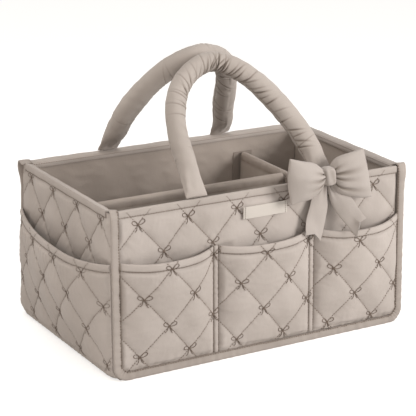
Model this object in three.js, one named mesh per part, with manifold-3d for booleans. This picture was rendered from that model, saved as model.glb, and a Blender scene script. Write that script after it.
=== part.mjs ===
// Quilted nursery caddy: a soft box with stiffened walls, outside pockets, two padded handles
// that lean on each other, a fabric bow and a removable T of dividers.
// Millimetres, +Z up, origin on the floor under the middle of the base, front towards -Y.

import * as THREE from 'three'
import Module from 'manifold-3d'
import { mergeVertices } from 'three/addons/utils/BufferGeometryUtils.js'

const wasm = await Module()
wasm.setup()

// Driving dimensions of the box, measured over the bindings
const caddyLength = 364
const caddyHeight = 180
const rimWidth = 212
const baseWidth = 227

// Layers of a wall, from the outside in
const clearance = 0.3
const coverThickness = 2
const tabThickness = 1
const boardThickness = 2
const liningThickness = 1.2
const baseBoardThickness = 3

// Quilting: the diamonds' diagonals, and how far the padding rises between the stitch lines
const quilt = { width: 58.4, height: 65, crown: 2.6 }
const wallQuiltHeight = 131.5
const pocketQuiltHeight = 115
const endQuiltHeight = 102

// Tape bound round the front and rear panels, and its folded ends at the corners of the rim
const binding = { width: 9.5, thickness: 3, roundness: 1, cornerRadius: 12, earRise: 2.5, earDepth: 4 }

// Fabric folded over the top of each wall
const hem = { depth: 8, thickness: 1.2, topThickness: 1.5, cornerRadius: 1.2 }

// How far the base cover's ends turn up
const baseCoverRadius = 5

// Outside pockets: the height of the mouth, and how far each pouch stands out and dips there
const sidePocket = { mouthHeight: 127, hemDepth: 8, seamSpacing: 120, seamWidth: 6 }
const sidePouch = { outerDepth: 15, middleDepth: 12, dip: 4, frontLeftDip: 3, frontRightDip: 6 }
const outerPouch = { depth: sidePouch.outerDepth, dip: sidePouch.dip }
const middlePouch = { depth: sidePouch.middleDepth, dip: sidePouch.dip }
const sidePouches = {
  front: [
    { ...outerPouch, dip: sidePouch.frontLeftDip },
    middlePouch,
    { ...outerPouch, dip: sidePouch.frontRightDip },
  ],
  rear: [outerPouch, middlePouch, outerPouch],
}
const endPocket = { mouthHeight: 126, inset: 2, depth: 18, dip: 6 }
const pouchEdgePower = 2.4
const pouchSwellShare = 0.62
const pouchDipPower = 3

// Bare woven label on the front panel
const label = { width: 54, height: 13, thickness: 0.8, centreHeight: 157 }

// Handles: padded tubes with a stuffed core, sewn flat into the rim at their feet
const handle = { halfSpan: 80, rise: 145, radius: 12, footHalfWidth: 12.5, footRadius: 3.5, flatLength: 34 }
const handleCoverThickness = 1.5
const handleCoreGap = 0.5
const handleCoreSetback = 18
const handleSides = 10
const handleRings = 27
const tab = { width: 22, depth: 38 }

// Route of each handle's centre line, left to right as the front shows it:
// shares of half the span, and of the rise
const frontRouteShares = [
  [-1, 0], [-1, 0.24], [-0.98, 0.485], [-0.85, 0.73], [-0.535, 0.915], [-0.18, 0.985],
  [0.15, 0.915], [0.445, 0.755], [0.705, 0.515], [0.87, 0.275], [0.96, 0],
]
const rearRouteShares = [
  [-0.97, 0], [-0.955, 0.2], [-0.92, 0.44], [-0.77, 0.69], [-0.48, 0.91], [-0.145, 1],
  [0.15, 0.95], [0.39, 0.81], [0.57, 0.55], [0.7, 0.3], [0.83, 0.09], [0.86, 0],
]
const handleRouteShares = { front: frontRouteShares, rear: rearRouteShares }

// Bow sewn over the front handle's right foot
const bow = { right: 77, aboveRim: 5.5, knotHalfWidth: 9, knotHalfDepth: 7, knotHalfHeight: 10.5 }
const loop = { rootHalfHeight: 8.5, rootThickness: 7, edgeThickness: 1.6, plumpness: 14, forward: 8 }
const leftLoop = { tipRight: 22, topTip: 214, bottomTipRight: 24, bottomTip: 164 }
const rightLoop = { tipRight: 117, topTip: 212, bottomTipRight: 131, bottomTip: 155 }
const tail = { thickness: 2, rootHalfWidth: 4.5, halfWidth: 12.5, rootGap: 0.6, behindKnot: 2.5 }
const leftTail = { endRight: 58, belowMouth: 9, forward: 8.5, slant: 6, notch: 9 }
const rightTail = { endRight: 113, belowMouth: 5, forward: 22, slant: -11, notch: 9 }
const tailSpreadShare = 0.42
const tailForwardPower = 1.6

// Dividers that stand on the base lining and hold to strips on the walls
const divider = { thickness: 8, height: 149, topRadius: 3.5, boardThickness: 2.6 }
const crossDividerRight = 98
const strip = { width: 25, thickness: 1.2, bottomHeight: 30 }

// Sizes that follow from the ones above
const stackDepth = coverThickness + tabThickness + boardThickness + liningThickness + 3 * clearance
const sideFace = baseWidth / 2 - binding.thickness - clearance
const endFace = caddyLength / 2 - hem.thickness - clearance
const floorHeight = coverThickness + baseBoardThickness + liningThickness + 2 * clearance
const wallBottom = floorHeight + clearance
const wallTop = caddyHeight - hem.topThickness - clearance
const hemBottom = caddyHeight - hem.depth
const sideHalfLength = endFace - stackDepth - clearance
const endHalfLength = sideFace - clearance
const hemInside = stackDepth + clearance + hem.thickness
const hemOutside = clearance + hem.thickness
const panelHalfLength = caddyLength / 2 - binding.width
const rimFace = sideFace - (baseWidth - rimWidth) / 2
const quiltColumn = quilt.width / 4
const quiltRow = quilt.height / 4

// Materials
const soft = (color, roughness) => new THREE.MeshStandardMaterial({ color, roughness, metalness: 0 })
const materials = {
  quilted: soft('#b9aca1', 0.85),
  plain: soft('#b3a69b', 0.85),
  lining: soft('#a89b90', 0.9),
  label: soft('#e6e0d6', 0.8),
  board: soft('#8f7d66', 0.9),
  padding: soft('#efece6', 1),
  strip: soft('#9b8f84', 1),
}

// Geometry helpers
function solidFromFacets(facets) {
  const geometry = new THREE.BufferGeometry().setFromPoints(facets.flat())
  geometry.computeVertexNormals()
  return geometry
}

// Two triangles over a quad, split along a-c or b-d
const quadFacets = (a, b, c, d, splitAlongAC = true) =>
  splitAlongAC ? [[a, b, c], [a, c, d]] : [[a, b, d], [b, c, d]]

// A closed sheet on a grid. outer(x, z) and inner(x, z) give the points of its two faces.
// Each cell is split along its thinner diagonal, so that the creases follow the stitch lines.
function gridSheet({ columns, rows, outer, inner, flatBack = false }) {
  const front = rows.map((z) => columns.map((x) => outer(x, z)))
  const back = rows.map((z) => columns.map((x) => inner(x, z)))
  const thickness = (j, i) => front[j][i].distanceTo(back[j][i])
  const facets = []
  for (let j = 0; j + 1 < rows.length; j++) {
    for (let i = 0; i + 1 < columns.length; i++) {
      const alongAC = thickness(j, i) + thickness(j + 1, i + 1)
      const alongBD = thickness(j, i + 1) + thickness(j + 1, i)
      const split = alongAC <= alongBD
      facets.push(...quadFacets(front[j][i], front[j][i + 1], front[j + 1][i + 1], front[j + 1][i], split))
      if (flatBack) continue
      facets.push(...quadFacets(back[j][i], back[j + 1][i], back[j + 1][i + 1], back[j][i + 1], split))
    }
  }
  const lastRow = rows.length - 1
  const lastColumn = columns.length - 1
  const border = [
    ...columns.map((_, i) => [0, i]),
    ...rows.slice(1).map((_, j) => [j + 1, lastColumn]),
    ...columns.slice(1).map((_, i) => [lastRow, lastColumn - 1 - i]),
    ...rows.slice(1, -1).map((_, j) => [lastRow - 1 - j, 0]),
  ]
  const middle = new THREE.Vector3()
  border.forEach(([j, i]) => middle.addScaledVector(back[j][i], 1 / border.length))
  border.forEach(([j, i], k) => {
    const [nextRow, nextColumn] = border[(k + 1) % border.length]
    const here = front[j][i]
    const next = front[nextRow][nextColumn]
    facets.push(...quadFacets(next, here, back[j][i], back[nextRow][nextColumn]))
    if (flatBack) facets.push([middle, back[nextRow][nextColumn], back[j][i]])
  })
  return solidFromFacets(facets)
}

// Grid lines from start to end that fall on multiples of the step, with the two ends
function gridStops(start, end, step, origin = 0) {
  const margin = step / 3
  const inside = []
  for (let k = Math.ceil((start + margin - origin) / step); origin + k * step < end - margin; k++) {
    inside.push(origin + k * step)
  }
  return [start, ...inside, end]
}

// Height of the padding as a share of its crown: 0 on the diagonal stitch lines, 1 mid-diamond
const fraction = (value) => value - Math.floor(value)
function pillowShare(x, z, rowHeight) {
  const rising = fraction(x / quilt.width + (z - rowHeight) / quilt.height)
  const falling = fraction(x / quilt.width - (z - rowHeight) / quilt.height)
  return Math.sqrt(Math.sin(Math.PI * rising) * Math.sin(Math.PI * falling))
}

// Places on the walls, in the frame of a wall that faces -Y.
// The long walls lean in as they rise, and the ends get narrower with them.
const leanAt = (z) => ((baseWidth - rimWidth) / 2) * (z / caddyHeight)
const onSide = (x, out, z) => new THREE.Vector3(x, leanAt(z) - sideFace - out, z)
const endTaper = (z) => (endHalfLength - leanAt(z)) / endHalfLength
const onEnd = (x, out, z) => new THREE.Vector3(x * endTaper(z), -endFace - out, z)

// Leans a solid that was made upright with the long walls
function leanWithWall(geometry) {
  const lean = new THREE.Matrix4().makeShear(0, 0, 0, 0, 0, leanAt(caddyHeight) / caddyHeight)
  return geometry.applyMatrix4(lean)
}

// A flat layer of a wall between two depths
function flatLayer(place, halfLength, bottom, top, outDepth, inDepth, middle = 0) {
  return gridSheet({
    columns: [middle - halfLength, middle + halfLength],
    rows: [bottom, top],
    outer: (x, z) => place(x, -outDepth, z),
    inner: (x, z) => place(x, -inDepth, z),
  })
}

// The quilted cover: padded above the pocket's mouth, flat behind the pocket and under the hem
function wallCover(place, halfLength, flatEdge, mouthHeight, rowHeight) {
  const flatFrom = halfLength - flatEdge
  const quiltTop = hemBottom - clearance
  const columns = gridStops(-flatFrom, flatFrom, quiltColumn)
  const rows = [wallBottom, ...gridStops(mouthHeight, quiltTop, quiltRow, rowHeight), wallTop]
  const crown = (x, z) => {
    const padded = Math.abs(x) < flatFrom && z > mouthHeight && z < quiltTop
    return padded ? quilt.crown * pillowShare(x, z, rowHeight) : 0
  }
  return gridSheet({
    columns: flatEdge > 0 ? [-halfLength, ...columns, halfLength] : columns,
    rows,
    outer: (x, z) => place(x, crown(x, z), z),
    inner: (x, z) => place(x, -coverThickness, z),
    flatBack: true,
  })
}

// How far a pouch stands out of the wall, as shares across its width and up its height
const pouchAcross = (x, middle, half) => 1 - Math.abs((x - middle) / half) ** pouchEdgePower
const pouchUp = (share) => Math.sin(share * pouchSwellShare * Math.PI) / Math.sin(pouchSwellShare * Math.PI)

// A strip of quilted fabric sewn to a wall so that it makes one or more pouches
function pocketStrip(place, pouches, bottom, mouthHeight, rowHeight) {
  const stitchHeight = mouthHeight - sidePocket.hemDepth
  const columns = pouches.flatMap(({ start, end }) => gridStops(start, end, quiltColumn))
  const rows = [...gridStops(bottom, stitchHeight, quiltRow, rowHeight), mouthHeight]
  const edges = pouches.flatMap(({ start, end }) => [start, end])
  const pouchAt = (x) => pouches.find(({ start, end }) => x >= start && x <= end)
  const bulge = (x, z) => {
    const pouch = pouchAt(x)
    const across = pouchAcross(x, (pouch.start + pouch.end) / 2, (pouch.end - pouch.start) / 2)
    const up = (z - bottom) / (mouthHeight - bottom)
    return { out: pouch.depth * across * pouchUp(up), down: pouch.dip * across * up ** pouchDipPower }
  }
  const crown = (x, z) => {
    const padded = !edges.includes(x) && z > bottom && z < stitchHeight
    return padded ? quilt.crown * pillowShare(x, z, rowHeight) : 0
  }
  const point = (x, z, extra) => {
    const { out, down } = bulge(x, z)
    return place(x, clearance + out + extra, z - down)
  }
  return gridSheet({
    columns,
    rows,
    outer: (x, z) => point(x, z, coverThickness + crown(x, z)),
    inner: (x, z) => point(x, z, 0),
  })
}

// The fold of fabric over the top of a wall: an upside-down channel with rounded shoulders
function rimHem(halfLength) {
  const profile = new THREE.Shape()
  const radius = hem.cornerRadius
  const shoulder = caddyHeight - radius
  const underside = caddyHeight - hem.topThickness
  profile.moveTo(-hemOutside, hemBottom)
  profile.lineTo(-hemOutside, shoulder)
  profile.absarc(radius - hemOutside, shoulder, radius, Math.PI, Math.PI / 2, true)
  profile.absarc(hemInside - radius, shoulder, radius, Math.PI / 2, 0, true)
  profile.lineTo(hemInside, hemBottom)
  profile.lineTo(hemInside - hem.thickness, hemBottom)
  profile.lineTo(hemInside - hem.thickness, underside)
  profile.lineTo(hem.thickness - hemOutside, underside)
  profile.lineTo(hem.thickness - hemOutside, hemBottom)
  const geometry = new THREE.ExtrudeGeometry(profile, {
    depth: 2 * halfLength,
    bevelEnabled: false,
    curveSegments: 3,
  })
  // The profile's first axis is the depth into the wall, its second is up
  const axes = new THREE.Matrix4().makeBasis(
    new THREE.Vector3(0, 1, 0),
    new THREE.Vector3(0, 0, 1),
    new THREE.Vector3(1, 0, 0),
  )
  return geometry.translate(0, 0, -halfLength).applyMatrix4(axes)
}

// Manifold solids for the pieces that need a join
function toManifold(geometry) {
  const bare = geometry.clone()
  bare.deleteAttribute('normal')
  bare.deleteAttribute('uv')
  const merged = mergeVertices(bare)
  return new wasm.Manifold(new wasm.Mesh({
    numProp: 3,
    vertProperties: new Float32Array(merged.attributes.position.array),
    triVerts: new Uint32Array(merged.index.array),
  }))
}

function fromManifold(solid) {
  const mesh = solid.getMesh()
  const geometry = new THREE.BufferGeometry()
  geometry.setAttribute('position', new THREE.BufferAttribute(mesh.vertProperties, mesh.numProp))
  geometry.setIndex(new THREE.BufferAttribute(mesh.triVerts, 1))
  geometry.computeVertexNormals()
  return geometry
}

// A box between any two opposite corners
function boxBetween(corner, oppositeCorner) {
  const box = new THREE.Box3().setFromPoints([corner, oppositeCorner])
  const size = box.getSize(new THREE.Vector3())
  const middle = box.getCenter(new THREE.Vector3())
  return new THREE.BoxGeometry(size.x, size.y, size.z).translate(middle.x, middle.y, middle.z)
}

// The tape round a long panel: down one side, along the bottom and up the other, with its
// two ends folded back over the corners of the rim
function panelBinding() {
  const half = caddyLength / 2
  const top = caddyHeight + binding.earRise
  const outer = binding.cornerRadius
  const outline = new THREE.Shape()
  outline.moveTo(-half, top)
  outline.absarc(outer - half, outer, outer, Math.PI, 1.5 * Math.PI, false)
  outline.absarc(half - outer, outer, outer, 1.5 * Math.PI, 2 * Math.PI, false)
  outline.lineTo(half, top)
  outline.lineTo(panelHalfLength, top)
  outline.lineTo(panelHalfLength, binding.width)
  outline.lineTo(-panelHalfLength, binding.width)
  outline.lineTo(-panelHalfLength, top)
  const tape = new THREE.ExtrudeGeometry(outline, {
    depth: binding.thickness - 2 * binding.roundness,
    bevelThickness: binding.roundness,
    bevelSize: binding.roundness,
    bevelOffset: -binding.roundness,
    bevelSegments: 1,
    curveSegments: 4,
  })
  tape.rotateX(Math.PI / 2)
  tape.translate(0, -sideFace - clearance - binding.roundness, 0)
  let solid = toManifold(leanWithWall(tape))
  for (const side of [-1, 1]) {
    const ear = boxBetween(
      new THREE.Vector3(side * half, -rimFace - clearance - binding.thickness / 2, top - binding.earDepth),
      new THREE.Vector3(side * panelHalfLength, hemInside - rimFace, top),
    )
    solid = solid.add(toManifold(ear))
  }
  return fromManifold(solid)
}

// The base reaches under the foot of the leaning walls and stops short of the bindings
const baseHalfDepth = sideFace - leanAt(floorHeight) - clearance

// The base cover: a flat sheet whose two ends turn up with a round fold
function baseCover() {
  const radius = baseCoverRadius
  const inner = radius - coverThickness
  const profile = new THREE.Shape()
  profile.moveTo(-endFace, floorHeight)
  profile.absarc(radius - endFace, radius, radius, Math.PI, 1.5 * Math.PI, false)
  profile.absarc(endFace - radius, radius, radius, 1.5 * Math.PI, 2 * Math.PI, false)
  profile.lineTo(endFace, floorHeight)
  profile.lineTo(endFace - coverThickness, floorHeight)
  profile.absarc(endFace - radius, radius, inner, 2 * Math.PI, 1.5 * Math.PI, true)
  profile.absarc(radius - endFace, radius, inner, 1.5 * Math.PI, Math.PI, true)
  profile.lineTo(coverThickness - endFace, floorHeight)
  const geometry = new THREE.ExtrudeGeometry(profile, {
    depth: 2 * baseHalfDepth,
    bevelEnabled: false,
    curveSegments: 4,
  })
  return geometry.rotateX(Math.PI / 2).translate(0, baseHalfDepth, 0)
}

const baseLayer = (halfLength, bottom, thickness) => boxBetween(
  new THREE.Vector3(-halfLength, -baseHalfDepth, bottom),
  new THREE.Vector3(halfLength, baseHalfDepth, bottom + thickness),
)

// A handle's centre line in its own plane, feet on the X axis
function handleRoute(name) {
  const mirror = name === 'rear' ? -1 : 1
  const points = handleRouteShares[name].map(([across, up]) =>
    new THREE.Vector3(mirror * across * handle.halfSpan, 0, up * handle.rise))
  return new THREE.CatmullRomCurve3(points, false, 'centripetal')
}

// Rings of a tube along the route. inset is how far the ring lies under the outer surface,
// setback is how far it stops from the feet.
function handleRing(route, distance, inset) {
  const length = route.getLength()
  const share = distance / length
  const centre = route.getPointAt(share)
  const along = route.getTangentAt(share)
  const across = new THREE.Vector3(along.z, 0, -along.x)
  const fromFoot = Math.min(distance, length - distance)
  const round = THREE.MathUtils.smoothstep(fromFoot, 0, handle.flatLength)
  const halfWidth = THREE.MathUtils.lerp(handle.footHalfWidth, handle.radius, round) - inset
  const halfDepth = THREE.MathUtils.lerp(handle.footRadius, handle.radius, round) - inset
  return Array.from({ length: handleSides }, (_, k) => {
    const angle = (2 * Math.PI * (k + 1 / 2)) / handleSides
    const point = centre.clone().addScaledVector(across, halfWidth * Math.cos(angle))
    point.y += halfDepth * Math.sin(angle)
    return point
  })
}

// The rounded end of a foot, below the line that the handle turns about
function footRings(route, atEnd, inset) {
  const foot = route.getPointAt(atEnd ? 1 : 0)
  const outward = atEnd ? -1 : 1
  const drops = [1 / 2, Math.sqrt(3) / 2]
  const rings = drops.map((drop) => {
    const halfDepth = handle.footRadius * Math.sqrt(1 - drop * drop)
    const narrow = Math.max(halfDepth - inset, clearance)
    return Array.from({ length: handleSides }, (_, k) => {
      const angle = (2 * Math.PI * (k + 1 / 2)) / handleSides
      return new THREE.Vector3(
        foot.x + outward * (handle.footHalfWidth - inset) * Math.cos(angle),
        narrow * Math.sin(angle),
        -handle.footRadius * drop,
      )
    })
  })
  return atEnd ? rings : rings.reverse()
}

const handleStations = (length, setback) =>
  Array.from({ length: handleRings + 1 }, (_, k) => (length * k) / handleRings)
    .filter((distance) => distance >= setback && distance <= length - setback)

function bridgeRings(from, to, facets) {
  from.forEach((point, k) => {
    const next = (k + 1) % from.length
    facets.push(...quadFacets(point, from[next], to[next], to[k]))
  })
}

function handleCover(name) {
  const route = handleRoute(name)
  const stations = handleStations(route.getLength(), 0)
  const skin = (inset) => [
    ...footRings(route, false, inset),
    ...stations.map((distance) => handleRing(route, distance, inset)),
    ...footRings(route, true, inset),
  ]
  const outside = skin(0)
  const inside = skin(handleCoverThickness)
  const facets = []
  for (let k = 0; k + 1 < outside.length; k++) {
    bridgeRings(outside[k], outside[k + 1], facets)
    bridgeRings(inside[k + 1], inside[k], facets)
  }
  bridgeRings(inside[0], outside[0], facets)
  bridgeRings(outside.at(-1), inside.at(-1), facets)
  return solidFromFacets(facets)
}

function handleCore(name) {
  const route = handleRoute(name)
  const inset = handleCoverThickness + handleCoreGap
  const stations = handleStations(route.getLength(), handleCoreSetback)
  const rings = stations.map((distance) => handleRing(route, distance, inset))
  const facets = []
  for (let k = 0; k + 1 < rings.length; k++) bridgeRings(rings[k], rings[k + 1], facets)
  const centreOf = (ring) =>
    ring.reduce((sum, point) => sum.addScaledVector(point, 1 / ring.length), new THREE.Vector3())
  const first = centreOf(rings[0])
  const last = centreOf(rings.at(-1))
  rings[0].forEach((point, k) => facets.push([first, rings[0][(k + 1) % handleSides], point]))
  rings.at(-1).forEach((point, k) => facets.push([last, point, rings.at(-1)[(k + 1) % handleSides]]))
  return solidFromFacets(facets)
}

// Where the handles turn, and how far they lean until their tops rest against each other
const handleAxisDepth = rimFace - (hemInside - hemOutside) / 2
const handleAxisHeight = caddyHeight + clearance + handle.footRadius
const handleLean = Math.asin((handleAxisDepth - handle.radius - clearance / 2) / handle.rise)

// The bow's knot, just in front of the rim
const bowDepth = rimFace + hemOutside + clearance + bow.knotHalfDepth
const bowHeight = caddyHeight + bow.aboveRim
const shareStops = (count) => Array.from({ length: count + 1 }, (_, k) => k / count)

function bowKnot() {
  const geometry = new THREE.SphereGeometry(1, 12, 8)
  geometry.scale(bow.knotHalfWidth, bow.knotHalfDepth, bow.knotHalfHeight)
  return geometry.translate(bow.right, -bowDepth, bowHeight)
}

// One loop of the bow: a plump cushion gathered at the knot, flat and square at its far edge
function bowLoop(side, tip) {
  const rootRight = bow.right + side * (bow.knotHalfWidth + clearance)
  const edgePoint = (along, up) => {
    const spread = Math.sin((along * Math.PI) / 2)
    const topRight = THREE.MathUtils.lerp(rootRight, tip.tipRight, along)
    const bottomRight = THREE.MathUtils.lerp(rootRight, tip.bottomTipRight, along)
    const topHeight = THREE.MathUtils.lerp(bowHeight + loop.rootHalfHeight, tip.topTip, along)
    const bottomHeight = THREE.MathUtils.lerp(bowHeight - loop.rootHalfHeight, tip.bottomTip, spread)
    const x = THREE.MathUtils.lerp(bottomRight, topRight, up)
    const height = THREE.MathUtils.lerp(bottomHeight, topHeight, up)
    return new THREE.Vector3(x, -bowDepth - loop.forward * spread, height)
  }
  const halfThickness = (along, up) => {
    const acrossShare = Math.sqrt(Math.sin(Math.PI * up))
    const plump = loop.plumpness * Math.sin(Math.PI * along) * acrossShare
    const root = loop.rootThickness * (1 - along) * acrossShare
    return (loop.edgeThickness + plump + root) / 2
  }
  const face = (direction) => (along, up) => {
    const point = edgePoint(along, up)
    point.y += direction * halfThickness(along, up)
    return point
  }
  const stops = shareStops(6)
  const towardsTip = side > 0
  return gridSheet({
    columns: towardsTip ? stops : stops.toReversed(),
    rows: stops,
    outer: face(-1),
    inner: face(1),
  })
}

// One tail of the bow: a ribbon that widens as it falls and ends in a notch
function bowTail(side, end) {
  const rootHeight = bowHeight - bow.knotHalfHeight - clearance
  const rootRight = bow.right + side * (tail.rootHalfWidth + tail.rootGap)
  const rootDepth = bowDepth - tail.behindKnot
  const start = new THREE.Vector3(rootRight, -rootDepth, rootHeight)
  const finish = new THREE.Vector3(end.endRight, -rootDepth, sidePocket.mouthHeight - end.belowMouth)
  const run = new THREE.Vector3().subVectors(finish, start)
  const across = new THREE.Vector3(-run.z, 0, run.x).normalize()
  const down = new THREE.Vector3(run.x, 0, run.z).normalize()
  const face = (direction) => (over, up) => {
    const along = 1 - up
    const spread = Math.sin(Math.min(along / tailSpreadShare, 1) * (Math.PI / 2))
    const halfWidth = THREE.MathUtils.lerp(tail.rootHalfWidth, tail.halfWidth, spread)
    const sideways = 2 * over - 1
    const cut = along * (end.slant * sideways - end.notch * (1 - Math.abs(sideways)))
    const point = start.clone().addScaledVector(run, along)
    point.addScaledVector(across, sideways * halfWidth).addScaledVector(down, cut)
    point.y += (direction * tail.thickness) / 2 - end.forward * along ** tailForwardPower
    return point
  }
  return gridSheet({ columns: shareStops(4), rows: shareStops(6), outer: face(-1), inner: face(1) })
}

// A divider's padded sleeve, open below where its board goes in: profile across, extruded along
function dividerSleeve(length) {
  const half = divider.thickness / 2
  const slot = divider.boardThickness / 2 + clearance
  const top = wallBottom + divider.height
  const slotTop = top - half
  const radius = divider.topRadius
  const profile = new THREE.Shape()
  profile.moveTo(-half, wallBottom)
  profile.lineTo(-slot, wallBottom)
  profile.lineTo(-slot, slotTop)
  profile.lineTo(slot, slotTop)
  profile.lineTo(slot, wallBottom)
  profile.lineTo(half, wallBottom)
  profile.absarc(half - radius, top - radius, radius, 0, Math.PI / 2, false)
  profile.absarc(radius - half, top - radius, radius, Math.PI / 2, Math.PI, false)
  const sleeve = new THREE.ExtrudeGeometry(profile, {
    depth: length,
    bevelEnabled: false,
    curveSegments: 3,
  })
  return sleeve.rotateX(Math.PI / 2).translate(0, length / 2, 0)
}

// The assembly
const caddy = new THREE.Group()

function addPiece(parent, name, geometry, material) {
  const mesh = new THREE.Mesh(geometry, material)
  mesh.name = name
  parent.add(mesh)
  return mesh
}

// Depths of the layers below a wall's outer face
const tabDepth = coverThickness + clearance
const boardDepth = tabDepth + tabThickness + clearance
const liningDepth = boardDepth + boardThickness + clearance
const loopStripDepth = stackDepth + clearance

function addLayers(group, name, place, halfLength) {
  const board = flatLayer(place, halfLength, wallBottom, wallTop, boardDepth, boardDepth + boardThickness)
  const lining = flatLayer(place, halfLength, wallBottom, wallTop, liningDepth, stackDepth)
  addPiece(group, `${name}_board`, board, materials.board)
  addPiece(group, `${name}_lining`, lining, materials.lining)
}

// The strip inside a wall that a divider's hooks hold to
const dividerTop = wallBottom + divider.height
const loopStripBack = loopStripDepth + strip.thickness
const loopStrip = (place, middle) => flatLayer(
  place, strip.width / 2, strip.bottomHeight, dividerTop, loopStripDepth, loopStripBack, middle,
)

// A long wall with its pockets, binding, handle tabs and strip, built facing -Y
function addSide(name, turn) {
  const group = new THREE.Group()
  group.rotation.z = turn
  caddy.add(group)
  const flatEdge = sideHalfLength - panelHalfLength + clearance
  const { mouthHeight, seamSpacing, seamWidth } = sidePocket
  const cover = wallCover(onSide, sideHalfLength, flatEdge, mouthHeight, wallQuiltHeight)
  addPiece(group, `${name}_cover`, cover, materials.quilted)
  addLayers(group, name, onSide, sideHalfLength)
  const edge = panelHalfLength - clearance
  const innerSeam = (seamSpacing - seamWidth) / 2
  const outerSeam = (seamSpacing + seamWidth) / 2
  const ranges = [[-edge, -outerSeam], [-innerSeam, innerSeam], [outerSeam, edge]]
  const pouches = ranges.map(([start, end], k) => ({ start, end, ...sidePouches[name][k] }))
  const bottom = binding.width + clearance
  const pockets = pocketStrip(onSide, pouches, bottom, mouthHeight, pocketQuiltHeight)
  addPiece(group, `${name}_pockets`, pockets, materials.quilted)
  addPiece(group, `${name}_binding`, panelBinding(), materials.plain)
  const rim = rimHem(panelHalfLength - clearance)
  addPiece(group, `${name}_rim`, leanWithWall(rim.translate(0, -sideFace, 0)), materials.quilted)
  const rightward = turn ? -1 : 1
  const routeShares = handleRouteShares[name]
  for (const [side, [footShare]] of [['left', routeShares[0]], ['right', routeShares.at(-1)]]) {
    const middle = rightward * footShare * handle.halfSpan
    const tabPiece = flatLayer(
      onSide, tab.width / 2, wallTop - tab.depth, wallTop, tabDepth, tabDepth + tabThickness, middle,
    )
    addPiece(group, `${name}_${side}_handle_tab`, tabPiece, materials.plain)
  }
  addPiece(group, `${name}_loop_strip`, loopStrip(onSide, rightward * crossDividerRight), materials.strip)
  return group
}

// An end wall with its single wide pocket, built facing -Y and turned into place
function addEnd(name, turn) {
  const group = new THREE.Group()
  group.rotation.z = turn
  caddy.add(group)
  const { mouthHeight, inset, depth, dip } = endPocket
  const cover = wallCover(onEnd, endHalfLength, 0, mouthHeight, endQuiltHeight + quilt.height / 2)
  addPiece(group, `${name}_cover`, cover, materials.quilted)
  addLayers(group, name, onEnd, endHalfLength)
  const pouches = [{ start: inset - endHalfLength, end: endHalfLength - inset, depth, dip }]
  const pocket = pocketStrip(onEnd, pouches, wallBottom, mouthHeight, endQuiltHeight)
  addPiece(group, `${name}_pocket`, pocket, materials.quilted)
  const rim = rimHem(rimFace - hemInside - clearance)
  addPiece(group, `${name}_rim`, rim.translate(0, -endFace, 0), materials.quilted)
  return group
}

// Base
addPiece(caddy, 'base_cover', baseCover(), materials.plain)
const baseBoardHalf = endFace - baseCoverRadius
const baseBoardBottom = coverThickness + clearance
const baseLiningBottom = baseBoardBottom + baseBoardThickness + clearance
const baseLiningHalf = endFace - coverThickness - clearance
const baseBoard = baseLayer(baseBoardHalf, baseBoardBottom, baseBoardThickness)
const baseLining = baseLayer(baseLiningHalf, baseLiningBottom, liningThickness)
addPiece(caddy, 'base_board', baseBoard, materials.board)
addPiece(caddy, 'base_lining', baseLining, materials.lining)

// Walls
const frontWall = addSide('front', 0)
addSide('rear', Math.PI)
const leftWall = addEnd('left', -Math.PI / 2)
addEnd('right', Math.PI / 2)

// Label on the front panel and loop strip inside the left end
const labelFace = quilt.crown + clearance
const labelBottom = label.centreHeight - label.height / 2
const labelTop = labelBottom + label.height
addPiece(frontWall, 'label', flatLayer(
  onSide, label.width / 2, labelBottom, labelTop, -labelFace - label.thickness, -labelFace,
), materials.label)
addPiece(leftWall, 'left_loop_strip', loopStrip(onEnd, 0), materials.strip)

// Handles, leaning in
function addHandle(name, turn) {
  const wall = new THREE.Group()
  wall.rotation.z = turn
  caddy.add(wall)
  const leaning = new THREE.Group()
  leaning.position.set(0, -handleAxisDepth, handleAxisHeight)
  leaning.rotation.x = -handleLean
  wall.add(leaning)
  addPiece(leaning, `${name}_handle_cover`, handleCover(name), materials.plain)
  addPiece(leaning, `${name}_handle_core`, handleCore(name), materials.padding)
}
addHandle('front', 0)
addHandle('rear', Math.PI)

// Bow
addPiece(caddy, 'bow_knot', bowKnot(), materials.plain)
addPiece(caddy, 'bow_left_loop', bowLoop(-1, leftLoop), materials.plain)
addPiece(caddy, 'bow_right_loop', bowLoop(1, rightLoop), materials.plain)
addPiece(caddy, 'bow_left_tail', bowTail(-1, leftTail), materials.plain)
addPiece(caddy, 'bow_right_tail', bowTail(1, rightTail), materials.plain)

// A divider in its own frame, along Y: its sleeve, its board and a hook strip at each end
const boardTop = dividerTop - divider.thickness / 2 - clearance
const hookLayer = strip.thickness + clearance
function addDivider(name, half, ends) {
  const group = new THREE.Group()
  caddy.add(group)
  const board = boxBetween(
    new THREE.Vector3(-divider.boardThickness / 2, -half, wallBottom),
    new THREE.Vector3(divider.boardThickness / 2, half, boardTop),
  )
  addPiece(group, `${name}_sleeve`, dividerSleeve(2 * half), materials.lining)
  addPiece(group, `${name}_board`, board, materials.board)
  for (const [end, side] of ends) {
    const hooks = boxBetween(
      new THREE.Vector3(-divider.thickness / 2, side * (half + clearance), strip.bottomHeight),
      new THREE.Vector3(divider.thickness / 2, side * (half + hookLayer), boardTop),
    )
    addPiece(group, `${name}_${end}_hook_strip`, hooks, materials.strip)
  }
  return group
}

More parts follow.
